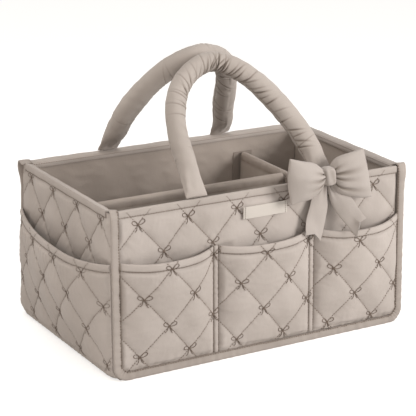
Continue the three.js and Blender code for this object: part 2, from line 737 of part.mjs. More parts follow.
// Cross divider: runs from front to rear, and clears both the strips and the rim as it lifts
const stripFace = sideFace - leanAt(strip.bottomHeight) - loopStripBack
const crossHalf = Math.min(rimFace - hemInside, stripFace) - clearance - hookLayer
const crossDivider = addDivider('cross_divider', crossHalf, [['front', -1], ['rear', 1]])
crossDivider.position.x = crossDividerRight
const crossLoopNear = divider.thickness / 2 + clearance
const crossLoopFar = divider.thickness / 2 + hookLayer
addPiece(crossDivider, 'cross_divider_loop_strip', boxBetween(
  new THREE.Vector3(-crossLoopFar, -strip.width / 2, strip.bottomHeight),
  new THREE.Vector3(-crossLoopNear, strip.width / 2, boardTop),
), materials.strip)

// Long divider: runs from the left end to the cross divider
const longLeft = loopStripBack + clearance + hookLayer - endFace
const longRight = crossDividerRight - crossLoopFar - clearance - hookLayer
const longHalf = (longRight - longLeft) / 2
const longDivider = addDivider('long_divider', longHalf, [['left', 1], ['right', -1]])
longDivider.position.x = (longLeft + longRight) / 2
longDivider.rotation.z = Math.PI / 2

export default caddy
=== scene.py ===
"""Quilted nursery caddy: cloth, quilting, stitches and padding over the fixed frame. Metres, +Z up."""

import math

import bmesh
import bpy
import numpy as np
from mathutils import Matrix, Vector


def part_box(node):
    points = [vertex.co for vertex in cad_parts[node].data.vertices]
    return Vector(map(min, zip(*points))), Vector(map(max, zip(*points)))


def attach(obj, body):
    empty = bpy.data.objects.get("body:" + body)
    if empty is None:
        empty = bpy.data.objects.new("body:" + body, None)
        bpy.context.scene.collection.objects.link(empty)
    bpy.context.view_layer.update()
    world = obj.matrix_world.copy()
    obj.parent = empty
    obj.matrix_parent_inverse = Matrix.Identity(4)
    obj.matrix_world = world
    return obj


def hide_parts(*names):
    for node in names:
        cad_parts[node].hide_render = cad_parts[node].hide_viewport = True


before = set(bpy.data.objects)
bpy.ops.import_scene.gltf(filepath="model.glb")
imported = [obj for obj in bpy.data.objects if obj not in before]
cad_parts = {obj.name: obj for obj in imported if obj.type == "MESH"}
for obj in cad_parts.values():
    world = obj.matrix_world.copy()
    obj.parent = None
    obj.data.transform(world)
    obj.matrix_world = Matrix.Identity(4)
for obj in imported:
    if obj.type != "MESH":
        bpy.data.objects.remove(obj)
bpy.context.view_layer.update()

# Sizes of the box
LENGTH = 0.364
HEIGHT = 0.180
RIM_WIDTH = 0.212
BASE_WIDTH = 0.227
GAP = 0.0003
COVER = 0.002
BINDING_WIDTH = 0.0095
BINDING_THICKNESS = 0.003
BINDING_BEND = 0.0115
BINDING_FLARES = {"front": (0.0, 0.0025), "rear": (0.001, 0.0045)}
BINDING_INNER_SHARES = {"front": (1.0, 0.85), "rear": (0.9, 0.9)}
STACK = 0.0071
HEM_THICKNESS = 0.0012
HEM_DEPTH = 0.008
HEM_OUTER = -0.0015
HEM_INNER = STACK + GAP + HEM_THICKNESS - 0.0003
RIM_FALL = 0.0022
WALL_BOTTOM = 0.0071
WALL_TOP = HEIGHT - 0.0018
SIDE_FACE = BASE_WIDTH / 2 - BINDING_THICKNESS - GAP
END_FACE = LENGTH / 2 - HEM_THICKNESS - GAP
SIDE_HALF = END_FACE - STACK - GAP
END_HALF = SIDE_FACE - GAP
PANEL_HALF = LENGTH / 2 - BINDING_WIDTH
HEM_BOTTOM = HEIGHT - HEM_DEPTH
LEAN = (BASE_WIDTH - RIM_WIDTH) / 2 / HEIGHT
RIM_FACE = SIDE_FACE - LEAN * HEIGHT
TURNS = {"front": 0.0, "rear": math.pi, "left": -math.pi / 2, "right": math.pi / 2}

# Quilting: the diamonds, the fullness of the padding and how closely the cloth is meshed
DIAMOND_WIDTH = 0.0584
DIAMOND_HEIGHT = 0.065
LINE_SPACING = 1 / math.hypot(1 / DIAMOND_WIDTH, 1 / DIAMOND_HEIGHT)
LINE_ANGLE = math.atan2(DIAMOND_HEIGHT, DIAMOND_WIDTH)
CROWN = 0.0031
CROWN_POWER = 0.52
CROSSING_DIP_SHARE = 0.45
CROSSING_REACH = 0.007
PULL = 0.00018
PULL_LENGTH = 0.0075
PULL_REACH = 0.0055
UNEVEN = 0.00030
UNEVEN_LENGTH = 0.030
# How wide the painted shade along a stitch line or hem is
CREASE_SHADE_WIDTH = 0.0008
CLOTH_PITCH = 0.00155
LINING_PITCH = 0.003
LIP_RADIUS = 0.0012

# Lattices of the quilting: how far along and up a wall one crossing lies, and the cloth's turn
POCKET_LATTICE = (-0.0043, 0.1166, -0.0255)
WALL_LATTICE = (-0.0039, 0.1305, 0.0)
END_LATTICE = (0.0139, 0.1125, 0.0)
END_WALL_LATTICE = (0.0, 0.1345, 0.0)

# Pockets. A pouch is given by its depth and how far its mouth dips
POCKET_BOTTOM = 0.0098
POCKET_MOUTH = 0.127
POCKET_HEM = 0.008
POCKET_HALF = 0.1738
POCKET_CORNER = 0.010
EDGE_UNDER_TAPE = 0.0011
SEAM_RIGHT = 0.060
SEAM_HALF = 0.003
SEAMS = [side * SEAM_RIGHT + way * SEAM_HALF for side in (-1, 1) for way in (-1, 1)]
SIDE_POUCHES = {
    "front": ((0.015, 0.003), (0.012, 0.004), (0.015, 0.006)),
    "rear": ((0.015, 0.004), (0.012, 0.004), (0.015, 0.004)),
}
END_MOUTH = 0.126
END_POCKET_HALF = END_HALF + 0.0007
END_SAG_SHIFT = 0.2
END_POUCH = (0.018, 0.006)
FOOT_CORNER = 0.016
FOOT_RISE = 0.0091
FOOT_FADE = 0.014
EDGE_POWER = 2.4
SWELL = 0.62 * math.pi

# Cloth near its thread: how far it takes to swell up, its gathers and tugs, its pinched lines and the width
# of the painted shade at its edges
EDGE_REACH = 0.0045
FOOT_REACH = 0.005
SEAM_REACH = 0.006
HEM_REACH = 0.005
HEM_SWELL = 0.0011
GATHER = 0.00020
GATHER_LENGTH = 0.0038
TUG = 0.00022
TUG_LENGTH = 0.0060
SEAM_PINCH = 0.0009
HEM_PINCH = 0.0007
SEAM_RIDGE = 0.0006
SHADE_WIDTH = 0.0011

# Thread
THREAD = 0.00042
QUILT_THREAD = 0.00045
EDGE_THREAD = 0.00062
RIM_THREAD = 0.00038
RIM_QUILT_THREAD = 0.00028
HANDLE_THREAD = 0.00035
LABEL_THREAD = 0.00025
STITCH_PITCH = 0.0030
STITCH_LENGTH = 0.0018
MOTIF_THREAD = 0.00041
MOTIF_PITCH = 0.0016
MOTIF_LENGTH = 0.0020
END_THREAD_SHARE = 0.6
QUILT_LIFT = 0.0001
MOTIF_LIFT = 0.0003
SEAM_LIFT = 0.0004
PATH_PITCH = 0.001


# Numbers and curves
def smooth(low, high, value):
    """0 below low, 1 above high, and an even turn between them."""
    share = np.clip((value - low) / (high - low), 0, 1)
    return share * share * (3 - 2 * share)


def fading(distance):
    """1 at no distance, less and less away from it."""
    return np.exp(-distance)


def bell(distance):
    """1 at no distance, with a round top and both sides falling away."""
    return np.exp(-(distance**2))


def ripple(u, v, wavelength, seed, angle=0.0, spread=math.pi):
    """Soft waves of about one wavelength, whose crests lie across the angle, give or take the spread."""
    rng = np.random.default_rng(seed)
    waves = 12
    total = 0.0
    for _ in range(waves):
        turn = angle + rng.uniform(-spread, spread)
        count = math.tau / (wavelength * rng.uniform(0.7, 1.5))
        phase = rng.uniform(0, math.tau)
        total = total + np.sin(count * (u * math.cos(turn) + v * math.sin(turn)) + phase)
    return total / math.sqrt(waves / 2)


def grid_of(columns, rows):
    """Two lists of stops as two grids, the first running along the first axis."""
    return np.meshgrid(columns, rows, indexing="ij")


def steps(start, end, pitch):
    """Even stops from start to end, about a pitch apart."""
    return np.linspace(start, end, max(2, int(round(abs(end - start) / pitch)) + 1))


def finer(stops, spots):
    """Stops with a few closer ones about each of some spots, where a narrow seam or edge lies."""
    near = np.add.outer(spots, (-0.0014, -0.0007, 0.0, 0.0007, 0.0014)).ravel()
    near = near[(near > stops[0]) & (near < stops[-1])]
    apart = np.abs(stops[:, None] - near[None]).min(1)
    kept = (apart > 0.0004) | (stops == stops[0]) | (stops == stops[-1])
    return np.sort(np.concatenate([stops[kept], near]))


def distance_along(path):
    """How far along a line each of its points lies."""
    return np.concatenate([[0], np.cumsum(np.linalg.norm(np.diff(path, axis=0), axis=1))])


def evenly(path, count):
    """The same line as a count of evenly spaced points."""
    along = distance_along(path)
    stops = np.linspace(0, along[-1], count)
    return np.stack([np.interp(stops, along, path[:, k]) for k in range(path.shape[1])], 1)


def respaced(path, pitch):
    """The same line with its points a pitch apart."""
    return evenly(path, max(2, int(round(distance_along(path)[-1] / pitch)) + 1))


def through(points, pitch):
    """Points along a smooth centripetal curve through the given ones, a pitch apart."""
    p = np.asarray(points, float)
    p = np.vstack([2 * p[0] - p[1], p, 2 * p[-1] - p[-2]])
    t = np.linspace(0, 1, 40, endpoint=False)[:, None]
    fine = []
    for k in range(1, len(p) - 2):
        d0, d1, d2 = (max(np.linalg.norm(p[k + j] - p[k + j - 1]) ** 0.5, 1e-6) for j in range(3))
        t1 = ((p[k] - p[k - 1]) / d0 - (p[k + 1] - p[k - 1]) / (d0 + d1) + (p[k + 1] - p[k]) / d1) * d1
        t2 = ((p[k + 1] - p[k]) / d1 - (p[k + 2] - p[k]) / (d1 + d2) + (p[k + 2] - p[k + 1]) / d2) * d1
        a = 2 * p[k] - 2 * p[k + 1] + t1 + t2
        b = -3 * p[k] + 3 * p[k + 1] - 2 * t1 - t2
        fine.append(((a * t + b) * t + t1) * t + p[k])
    return respaced(np.vstack([*fine, p[-2:-1]]), pitch)


def arc(right, height, radius, degrees):
    """Points on a circle about (right, height)."""
    turns = np.radians(degrees)
    return [*zip(right + radius * np.cos(turns), height + radius * np.sin(turns))]


def mirrored(profile):
    """The same points on the other side, in the opposite order."""
    return [(-x, z) for x, z in profile[::-1]]


def on_wall(wall, u, out, z):
    """A point u along a wall, out of its face and z high. The long walls lean in as they rise."""
    u, out, z = np.broadcast_arrays(*(np.asarray(value, float) for value in (u, out, z)))
    if wall in SIDE_POUCHES:
        x, y = u, LEAN * z - SIDE_FACE - out
    else:
        x, y = u * (END_HALF - LEAN * z) / END_HALF, -END_FACE - out
    cos, sin = round(math.cos(TURNS[wall])), round(math.sin(TURNS[wall]))
    return np.stack([cos * x - sin * y, sin * x + cos * y, z], -1)


# Node trees
def fill(tree, made, inputs):
    """Sets each input of a node to a value, or links it to another node's output."""
    for key, value in inputs.items():
        if isinstance(value, bpy.types.NodeSocket):
            tree.links.new(value, made.inputs[key])
        else:
            made.inputs[key].default_value = value


def node(tree, kind, inputs=None, **settings):
    """A new node with its settings and inputs."""
    made = tree.nodes.new(kind)
    for key, value in settings.items():
        setattr(made, key, value)
    fill(tree, made, inputs or {})
    return made


def worked(tree, operation, first, second, **settings):
    """The outcome of a sum or product."""
    return node(tree, "ShaderNodeMath", {0: first, 1: second}, operation=operation, **settings).outputs[0]


def noise(tree, vector, scale, detail, roughness=0.5):
    """Soft noise at the given scale."""
    inputs = {"Vector": vector, "Scale": scale, "Detail": detail, "Roughness": roughness}
    return node(tree, "ShaderNodeTexNoise", inputs).outputs["Fac"]


def bands(tree, vector, scale, distortion, detail, direction):
    """Wavy bands across one direction."""
    inputs = {"Vector": vector, "Scale": scale, "Distortion": distortion, "Detail": detail}
    return node(tree, "ShaderNodeTexWave", inputs, bands_direction=direction).outputs["Fac"]


def blended(tree, share, first, second):
    """A colour between two others."""
    inputs = {0: share, 6: (*first, 1), 7: (*second, 1)}
    return node(tree, "ShaderNodeMix", inputs, data_type="RGBA").outputs[2]


def bumped(tree, height, strength, distance, under=None):
    """The normal of a relief, laid over another relief's normal or over the plain face."""
    inputs = {"Height": height, "Strength": strength, "Distance": distance}
    if under:
        inputs["Normal"] = under
    return node(tree, "ShaderNodeBump", inputs).outputs["Normal"]


def material(name):
    """A new material, with its node tree and its shader."""
    finish = bpy.data.materials.new(name)
    finish.use_nodes = True
    return finish, finish.node_tree, finish.node_tree.nodes["Principled BSDF"]


# Finishes
BAND_LENGTH = 0.314  # of a wave texture at a scale of 1


def cloth(name, light, dark, weave=0.00075, weave_depth=0.25, puckers=0.35, sheen=0.25):
    """Brushed woven cloth: a fine weave on the UV map, soft patches, painted shade in its creases and a
    light nap.
    """
    finish, tree, shader = material(name)
    uv = node(tree, "ShaderNodeUVMap", uv_map="cloth").outputs["UV"]
    place = node(tree, "ShaderNodeTexCoord").outputs["Object"]

    # The weave is the sum of the waves of its two threads
    threads = worked(tree, "ADD", *(bands(tree, uv, BAND_LENGTH / weave, 0.6, 1.0, way) for way in "XY"))
    nap = noise(tree, uv, 2600.0, 2.0)
    crumple = noise(tree, place, 95.0, 3.0, 0.55)
    blotch = noise(tree, place, 16.0, 2.0)

    # Colour: light to dark by patch and thread, and darker by painted shade in creases and along stitch
    # lines
    patch = node(tree, "ShaderNodeMapRange",
                 {"Value": blotch, "From Min": 0.3, "From Max": 0.7, "To Min": 0.0, "To Max": 0.22})
    grain = node(tree, "ShaderNodeMapRange",
                 {"Value": threads, "From Min": 0.0, "From Max": 2.0, "To Min": 0.14, "To Max": 0.0})
    crease_shade = node(tree, "ShaderNodeAttribute", attribute_name="crease_shade").outputs["Fac"]
    even = worked(tree, "ADD", patch.outputs["Result"], grain.outputs["Result"])
    total = worked(tree, "ADD", even, worked(tree, "MULTIPLY", crease_shade, 0.55), use_clamp=True)

    # Relief: soft crumples, weave and nap
    low = bumped(tree, crumple, puckers, 0.0012)
    fine = bumped(tree, threads, weave_depth, 0.00022, low)
    fill(tree, shader, {
        "Base Color": blended(tree, total, light, dark),
        "Normal": bumped(tree, nap, 0.25, 0.00012, fine),
        "Roughness": 0.72,
        "Specular IOR Level": 0.25,
        "Sheen Weight": sheen,
        "Sheen Roughness": 0.45,
        "Sheen Tint": (1.0, 0.96, 0.92, 1),
    })
    return finish


def thread_finish(name, colour):
    """Twisted sewing thread, with the twist as fine bands."""
    finish, tree, shader = material(name)
    place = node(tree, "ShaderNodeTexCoord").outputs["Object"]
    worn = [part * 1.45 for part in colour]
    fill(tree, shader, {
        "Base Color": blended(tree, noise(tree, place, 60.0, 2.0), colour, worn),
        "Normal": bumped(tree, bands(tree, place, 900.0, 1.5, 2.0, "DIAGONAL"), 0.4, 0.0002),
        "Roughness": 0.6,
        "Specular IOR Level": 0.3,
    })
    return finish


def sheet_plastic(name, colour):
    """Matt board with a fine grain, for the stiffeners inside the walls."""
    finish, tree, shader = material(name)
    grain = noise(tree, node(tree, "ShaderNodeTexCoord").outputs["Object"], 700.0, 3.0)
    fill(tree, shader, {
        "Base Color": blended(tree, grain, colour, [part * 0.8 for part in colour]),
        "Normal": bumped(tree, grain, 0.3, 0.0002),
        "Roughness": 0.7,
    })
    return finish


QUILT_CLOTH = cloth("quilted_microfibre", (0.500, 0.443, 0.407), (0.225, 0.186, 0.156), puckers=0.5)
PLAIN_CLOTH = cloth("plain_microfibre", (0.480, 0.424, 0.386), (0.210, 0.172, 0.144), puckers=0.3)
# The bow's cloth is the plain cloth made a little darker: painted shade against the stronger light on the
# bow
SHADED_BOW_CLOTH = cloth("bow_microfibre_shaded", (0.455, 0.404, 0.372), (0.205, 0.170, 0.143), puckers=0.3)
LINING_CLOTH = cloth("lining_weave", (0.430, 0.368, 0.325), (0.200, 0.160, 0.130), 0.0009, sheen=0.1)
TAPE_CLOTH = cloth("binding_tape", (0.415, 0.362, 0.327), (0.190, 0.154, 0.128), 0.0006, puckers=0.25)
LABEL_CLOTH = cloth("woven_label", (0.60, 0.55, 0.50), (0.38, 0.34, 0.30), 0.0005, puckers=0.15, sheen=0.1)
HOOK_TAPE = cloth("hook_tape", (0.330, 0.280, 0.245), (0.10, 0.08, 0.065), 0.0014, 0.9, sheen=0.0)
PADDING = cloth("fibre_padding", (0.80, 0.78, 0.74), (0.6, 0.57, 0.52), 0.002, puckers=0.9, sheen=0.4)
THREAD_DARK = thread_finish("quilting_thread", (0.135, 0.100, 0.078))
THREAD_SOFT = thread_finish("seam_thread", (0.190, 0.148, 0.120))
BOARD = sheet_plastic("stiffener_board", (0.28, 0.23, 0.17))


# Pieces of cloth
def shown(name, data):
    """A new object in the scene."""
    made = bpy.data.objects.new(name, data)
    bpy.context.scene.collection.objects.link(made)
    return made


def cells(grid):
    """The four corners of each cell of a grid."""
    return np.stack([grid[:-1, :-1], grid[1:, :-1], grid[1:, 1:], grid[:-1, 1:]], 2)


def soft_piece(name, node_name, slot, finish, rings, crease_shade=None, body="shell", sharp=38, full=None):
    """A closed skin over rings of points, in place of a node of the frame. Its UV map is in metres, and its
    crease values become a point attribute of painted shade.
    """
    rings = np.asarray(rings, float)
    count, around = rings.shape[:2]
    index = np.arange(count * around).reshape(count, around)
    closed = np.concatenate([index, index[:, :1]], 1)
    middle = rings[count // 2]
    girth = distance_along(np.vstack([middle, middle[:1]]))
    places = np.stack(grid_of(distance_along(rings.mean(1)), girth), -1)
    faces = cells(closed).reshape(-1, 4).tolist() + [index[0].tolist(), index[-1][::-1].tolist()]
    cap = np.stack([girth[:-1], girth[:-1]], 1) * 0.2
    mesh = bpy.data.meshes.new(name)
    mesh.from_pydata(rings.reshape(-1, 3).tolist(), [], faces)
    uv = np.vstack([cells(places).reshape(-1, 2), cap, cap])
    mesh.uv_layers.new(name="cloth").data.foreach_set("uv", uv.astype(np.float32).ravel())
    if crease_shade is not None:
        attribute = mesh.attributes.new("crease_shade", "FLOAT", "POINT")
        attribute.data.foreach_set("value", crease_shade.astype(np.float32).ravel())
    mesh.validate()
    turned = bmesh.new()
    turned.from_mesh(mesh)
    bmesh.ops.recalc_face_normals(turned, faces=turned.faces)
    turned.to_mesh(mesh)
    turned.free()
    mesh.shade_smooth()
    mesh.set_sharp_from_angle(angle=math.radians(sharp))
    mesh.materials.append(finish)
    piece = shown(name, mesh)
    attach(piece, body)
    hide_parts(node_name)
    return piece


def stitch_tree():
    """Stitches a pitch apart along every edge path of the mesh that it is given."""
    tree = bpy.data.node_groups.new("stitch_run", "GeometryNodeTree")
    kinds = {"Paths": "Geometry", "Pitch": "Float", "Stitch length": "Float", "Thread radius": "Float",
             "Thread": "Material"}
    for label, kind in kinds.items():
        tree.interface.new_socket(label, in_out="INPUT", socket_type=f"NodeSocket{kind}")
    tree.interface.new_socket("Stitches", in_out="OUTPUT", socket_type="NodeSocketGeometry")
    given = node(tree, "NodeGroupInput").outputs
    curve = node(tree, "GeometryNodeMeshToCurve", {"Mesh": given["Paths"]}).outputs["Curve"]
    spaced = node(tree, "GeometryNodeResampleCurve", mode="LENGTH")
    fill(tree, spaced, {"Curve": curve, "Length": given["Pitch"]})
    tangent = node(tree, "GeometryNodeInputTangent").outputs["Tangent"]
    turned = node(tree, "FunctionNodeAlignRotationToVector", {"Vector": tangent}, axis="Z")
    grain = node(tree, "GeometryNodeMeshUVSphere", {"Segments": 6, "Rings": 4})
    radius, half = given["Thread radius"], worked(tree, "MULTIPLY", given["Stitch length"], 0.5)
    placed = node(tree, "GeometryNodeInstanceOnPoints", {
        "Points": spaced.outputs["Curve"],
        "Rotation": turned.outputs["Rotation"],
        "Instance": grain.outputs["Mesh"],
        "Scale": node(tree, "ShaderNodeCombineXYZ", {"X": radius, "Y": radius, "Z": half}).outputs[0],
    })
    real = node(tree, "GeometryNodeRealizeInstances", {"Geometry": placed.outputs["Instances"]})
    soft = node(tree, "GeometryNodeSetShadeSmooth", {"Geometry": real.outputs["Geometry"]})
    inputs = {"Geometry": soft.outputs[0], "Material": given["Thread"]}
    painted = node(tree, "GeometryNodeSetMaterial", inputs)
    node(tree, "NodeGroupOutput", {"Stitches": painted.outputs["Geometry"]})
    return tree


STITCHES = stitch_tree()


def sew(name, paths, finish=THREAD_DARK, body="shell",
        pitch=STITCH_PITCH, length=STITCH_LENGTH, radius=THREAD):
    """Runs of stitches along the paths, as one plain mesh that rides on the body."""
    edges = []
    first = 0
    for path in paths:
        edges += [(first + k, first + k + 1) for k in range(len(path) - 1)]
        first += len(path)
    mesh = bpy.data.meshes.new(f"{name}_paths")
    mesh.from_pydata(np.vstack(paths).tolist(), edges, [])
    guide = shown(f"{name}_paths", mesh)
    modifier = guide.modifiers.new("stitches", "NODES")
    modifier.node_group = STITCHES
    given = {"Pitch": pitch, "Stitch length": length, "Thread radius": radius, "Thread": finish}
    for item in STITCHES.interface.items_tree:
        if item.name in given:
            modifier[item.identifier] = given[item.name]
    sewn = bpy.data.meshes.new_from_object(guide.evaluated_get(bpy.context.evaluated_depsgraph_get()))
    bpy.data.objects.remove(guide)
    sewn.name = name
    piece = shown(name, sewn)
    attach(piece, body)


# Quilting
def turn_of(lattice):
    """Cosine and sine of the turn of a lattice."""
    return math.cos(lattice[2]), math.sin(lattice[2])


def in_lattice(u, z, lattice):
    """A point of the cloth along the quilting's own axes, from one of its crossings."""
    right, row, _ = lattice
    cos, sin = turn_of(lattice)
    return (u - right) * cos + (z - row) * sin, (z - row) * cos - (u - right) * sin


def on_cloth(path, lattice):
    """The points of a path along the quilting's own axes, back on the cloth."""
    cos, sin = turn_of(lattice)
    return path @ np.array([[cos, sin], [-sin, cos]]) + lattice[:2]


def line_distances(u, z, lattice):
    """Distance to the nearest stitch line of each family."""
    across, up = in_lattice(u, z, lattice)
    families = (across / DIAMOND_WIDTH + way * up / DIAMOND_HEIGHT for way in (1, -1))
    return [np.abs(family - np.round(family)) * LINE_SPACING for family in families]


def crossing_distance(u, z, lattice):
    """Distance to the nearest crossing of the stitch lines, where a small bow is sewn."""
    across, up = in_lattice(u, z, lattice)
    half_width, half_height = DIAMOND_WIDTH / 2, DIAMOND_HEIGHT / 2
    best = 1.0
    for shift in (0, 1):
        column, level = ((place - shift) / 2 for place in (across / half_width, up / half_height))
        gap_across = 2 * (column - np.round(column)) * half_width
        gap_up = 2 * (level - np.round(level)) * half_height
        best = np.minimum(best, np.hypot(gap_across, gap_up))
    return best


def quilted(u, z, lattice, seed):
    """Height of the quilted cloth over its backing, and the painted shade along its stitch lines."""
    rising, falling = line_distances(u, z, lattice)
    dome = np.sin(math.pi * rising / LINE_SPACING) * np.sin(math.pi * falling / LINE_SPACING)
    dip = CROSSING_DIP_SHARE * bell(crossing_distance(u, z, lattice) / CROSSING_REACH)
    pulls = ripple(u, z, PULL_LENGTH, seed, -LINE_ANGLE, 0.30) * fading(rising / PULL_REACH)
    pulls = pulls + ripple(u, z, PULL_LENGTH, seed + 1, LINE_ANGLE, 0.30) * fading(falling / PULL_REACH)
    height = CROWN * np.abs(dome) ** CROWN_POWER * (1 - dip)
    height = height + PULL * pulls + UNEVEN * ripple(u, z, UNEVEN_LENGTH, seed + 2)
    # The second value is painted shade, darkest on the stitch lines
    return height, 0.8 * fading(np.minimum(rising, falling) / CREASE_SHADE_WIDTH)


def meshed(face, u, z, columns, rows):
    """What a cloth's face measures at points between the stops of its mesh, as the mesh has it."""
    column = np.clip(np.searchsorted(columns, u) - 1, 0, len(columns) - 2)
    row = np.clip(np.searchsorted(rows, z) - 1, 0, len(rows) - 2)
    across = (u - columns[column]) / (columns[column + 1] - columns[column])
    up = (z - rows[row]) / (rows[row + 1] - rows[row])
    total = 0.0
    for right, share in ((0, 1 - across), (1, across)):
        for above, part in ((0, 1 - up), (1, up)):
            corner = np.stack(face(columns[column + right], rows[row + above]))
            total = total + corner * share * part
    return total


def within(path, half, low, high):
    """The part of a path that lies inside a panel."""
    return path[(np.abs(path[:, 0]) < half) & (path[:, 1] > low) & (path[:, 1] < high)]


def quilt_lines(lattice, half, low, high):
    """Both families of stitch lines over a panel, as lists of (u, z) points."""
    reach = int(2 * LENGTH / DIAMOND_WIDTH)
    up = steps(-HEIGHT, HEIGHT, PATH_PITCH)
    lines = []
    for family in (1, -1):
        for number in range(-reach, reach + 1):
            across = DIAMOND_WIDTH * (number - family * up / DIAMOND_HEIGHT)
            lines.append(within(on_cloth(np.stack([across, up], 1), lattice), half, low, high))
    return [line for line in lines if len(line) > 3]


# A small sewn bow in mm about its knot: loops, tails and the knot's own turn of thread
MOTIF = (
    ((0, 0), (1.9, 2.6), (4.8, 4.7), (7.2, 4.6), (7.7, 2.7), (6.0, 0.9), (3.0, -0.1), (0, 0)),
    ((0, 0), (-1.6, 2.4), (-4.3, 4.2), (-6.5, 4.0), (-7.0, 2.2), (-5.4, 0.6), (-2.6, -0.2), (0, 0)),
    ((0.2, 0), (1.3, -2.6), (2.2, -5.2), (4.3, -7.6)),
    ((0.4, -0.2), (2.0, -2.4), (3.4, -4.6)),
    ((-0.2, 0), (-1.2, -2.2), (-1.6, -4.6), (-3.2, -6.6)),
    ((-0.9, 0.7), (0.9, 0.4), (0.8, -0.7), (-0.8, -0.6), (-0.9, 0.7)),
)


def motif_lines(lattice, half, low, high):
    """The small bows that are sewn where the stitch lines cross, each a little different."""
    rng = np.random.default_rng(7)
    across, up = DIAMOND_WIDTH / 2, DIAMOND_HEIGHT / 2
    margin = 0.004
    lines = []
    for level in range(-8, 9):
        for column in range(-8, 9):
            turn = rng.uniform(-0.10, 0.10)
            size = 0.001 * rng.uniform(0.93, 1.05)
            centre = on_cloth(np.array([[column * across, level * up]]), lattice)
            if (level + column) % 2 or not len(within(centre, half - margin, low, high)):
                continue
            spin = np.array([[math.cos(turn), math.sin(turn)], [-math.sin(turn), math.cos(turn)]])
            for stroke in MOTIF:
                path = through(np.array(stroke) * size, 0.0006) @ spin + centre
                lines.append(path[np.abs(path[:, 0]) < half])
    return [line for line in lines if len(line) > 3]


# Walls and pockets
def pocket_sizes(wall):
    """Lattice, half width, bottom and mouth of a wall's pockets."""
    if wall in SIDE_POUCHES:
        return POCKET_LATTICE, POCKET_HALF, POCKET_BOTTOM, POCKET_MOUTH
    return END_LATTICE, END_POCKET_HALF, WALL_BOTTOM, END_MOUTH


def wall_sizes(wall):
    """Lattice and half width of a wall's cover."""
    return (WALL_LATTICE, SIDE_HALF) if wall in SIDE_POUCHES else (END_WALL_LATTICE, END_HALF)


def pouch_at(wall, u):
    """Depth and dip of the pouch at each u of a wall's pockets: none on a seam."""
    spans, sizes, shift = ((-END_POCKET_HALF, END_POCKET_HALF),), (END_POUCH,), END_SAG_SHIFT
    if wall in SIDE_POUCHES:
        spans = ((-POCKET_HALF, SEAMS[0]), (SEAMS[1], SEAMS[2]), (SEAMS[3], POCKET_HALF))
        sizes, shift = SIDE_POUCHES[wall], 0.0
    out, down = np.zeros_like(u), np.zeros_like(u)
    for (start, end), (depth, dip) in zip(spans, sizes):
        inside = (u > start) & (u < end)
        place = (u - (start + end) / 2) / ((end - start) / 2) - shift
        across = 1 - np.abs(place / np.where(place > 0, 1 - shift, 1 + shift)) ** EDGE_POWER
        out = np.where(inside, depth * across, out)
        down = np.where(inside, dip * across, down)
    return out, down


def bulge(up):
    """How far a pouch stands out at a share of its height, as a share of its depth at the mouth."""
    return np.sin(up * SWELL) / math.sin(SWELL)


def foot_rise(to_edge, to_bottom):
    """How much higher an end pocket's foot lies near the pocket's two sides."""
    return FOOT_RISE * np.clip(1 - to_edge / FOOT_CORNER, 0, 1) ** 2 * fading(to_bottom / FOOT_FADE)


def pocket_cloth(wall, u, z, seed=11):
    """Where the outer face of a pocket lies: (out, height, painted crease shade) at each (u, z) of its flat
    cloth.
    """
    side = wall in SIDE_POUCHES
    lattice, half, bottom, mouth = pocket_sizes(wall)
    depth, dip = pouch_at(wall, u)
    up = np.clip((z - bottom) / (mouth - bottom), 0, 1)
    height, crease_shade = quilted(u, z, lattice, seed)
    hem_line = mouth - POCKET_HEM
    to_hem = np.abs(z - hem_line)
    to_side, to_bottom = half - np.abs(u), z - bottom
    corner = (np.maximum(POCKET_CORNER - gap, 0) for gap in (to_side, to_bottom))
    to_edge = np.maximum(POCKET_CORNER - np.hypot(*corner), 0) if side else to_side
    to_seam = np.abs(np.abs(u) - SEAM_RIGHT) if side else np.full_like(u, 1.0)
    to_stitch = np.abs(to_seam - SEAM_HALF)
    on_seam = to_seam < SEAM_HALF
    below = z < hem_line

    # The padding is held down at edges, seams and hem
    held = smooth(0, EDGE_REACH, to_edge) * smooth(0, FOOT_REACH, to_bottom)
    held = held * np.where(on_seam, 0.0, smooth(0, SEAM_REACH, to_stitch))
    body = height * held * smooth(0, HEM_REACH, to_hem)
    roll = np.sin(math.pi * np.clip((z - hem_line) / POCKET_HEM, 0, 1))
    flattened = np.where(to_seam < SEAM_HALF + 0.001, 0.4, 1.0)
    hem = (HEM_SWELL + 0.15 * height * held + 0.0002 * roll) * flattened

    # Thread gathers the cloth under the hem and tugs at it beside seams, edges and foot
    near_hem = fading(to_hem / np.where(below, 0.009, 0.003))
    gathers = ripple(u, z, GATHER_LENGTH, seed + 5, 0.0, 0.16) * near_hem
    if not side:
        gathers = gathers + 1.7 * ripple(u, z, 0.0050, seed + 9, 0.0, 0.12) * below * fading(to_hem / 0.028)
    tugs = ripple(u, z, TUG_LENGTH, seed + 6, math.pi / 2, 0.35) * fading(to_stitch / 0.006)
    tugs = tugs + ripple(u, z, TUG_LENGTH, seed + 7, math.pi / 2, 0.35) * fading(to_edge / 0.007)
    tugs = tugs + ripple(u, z, 0.0070, seed + 8, 0.0, 0.3) * fading(to_bottom / 0.008)
    face = np.where(below, body, hem) + GATHER * gathers + TUG * tugs
    face = face - SEAM_PINCH * bell(to_stitch / 0.0011) - HEM_PINCH * bell(to_hem / 0.0009)
    face = face + np.where(on_seam, SEAM_RIDGE, 0.0)

    # Painted shade along the seam stitches and under the hem
    sewn = np.maximum(fading(to_stitch / 0.0009), 0.6 * fading(to_hem / CREASE_SHADE_WIDTH))
    crease_shade = np.maximum(crease_shade, sewn)
    drop = dip * up**3
    if side:
        # Painted shade along the pockets' edges beside the tape, weaker at the foot
        shade = 0.6 + 0.9 * smooth(0, POCKET_CORNER, to_bottom)
        crease_shade = np.maximum(crease_shade, shade * fading(np.maximum(to_edge - EDGE_UNDER_TAPE, 0) / SHADE_WIDTH))
    else:
        drop = drop - foot_rise(to_edge, to_bottom)
    return GAP + COVER + depth * bulge(up) + face, z - drop, crease_shade


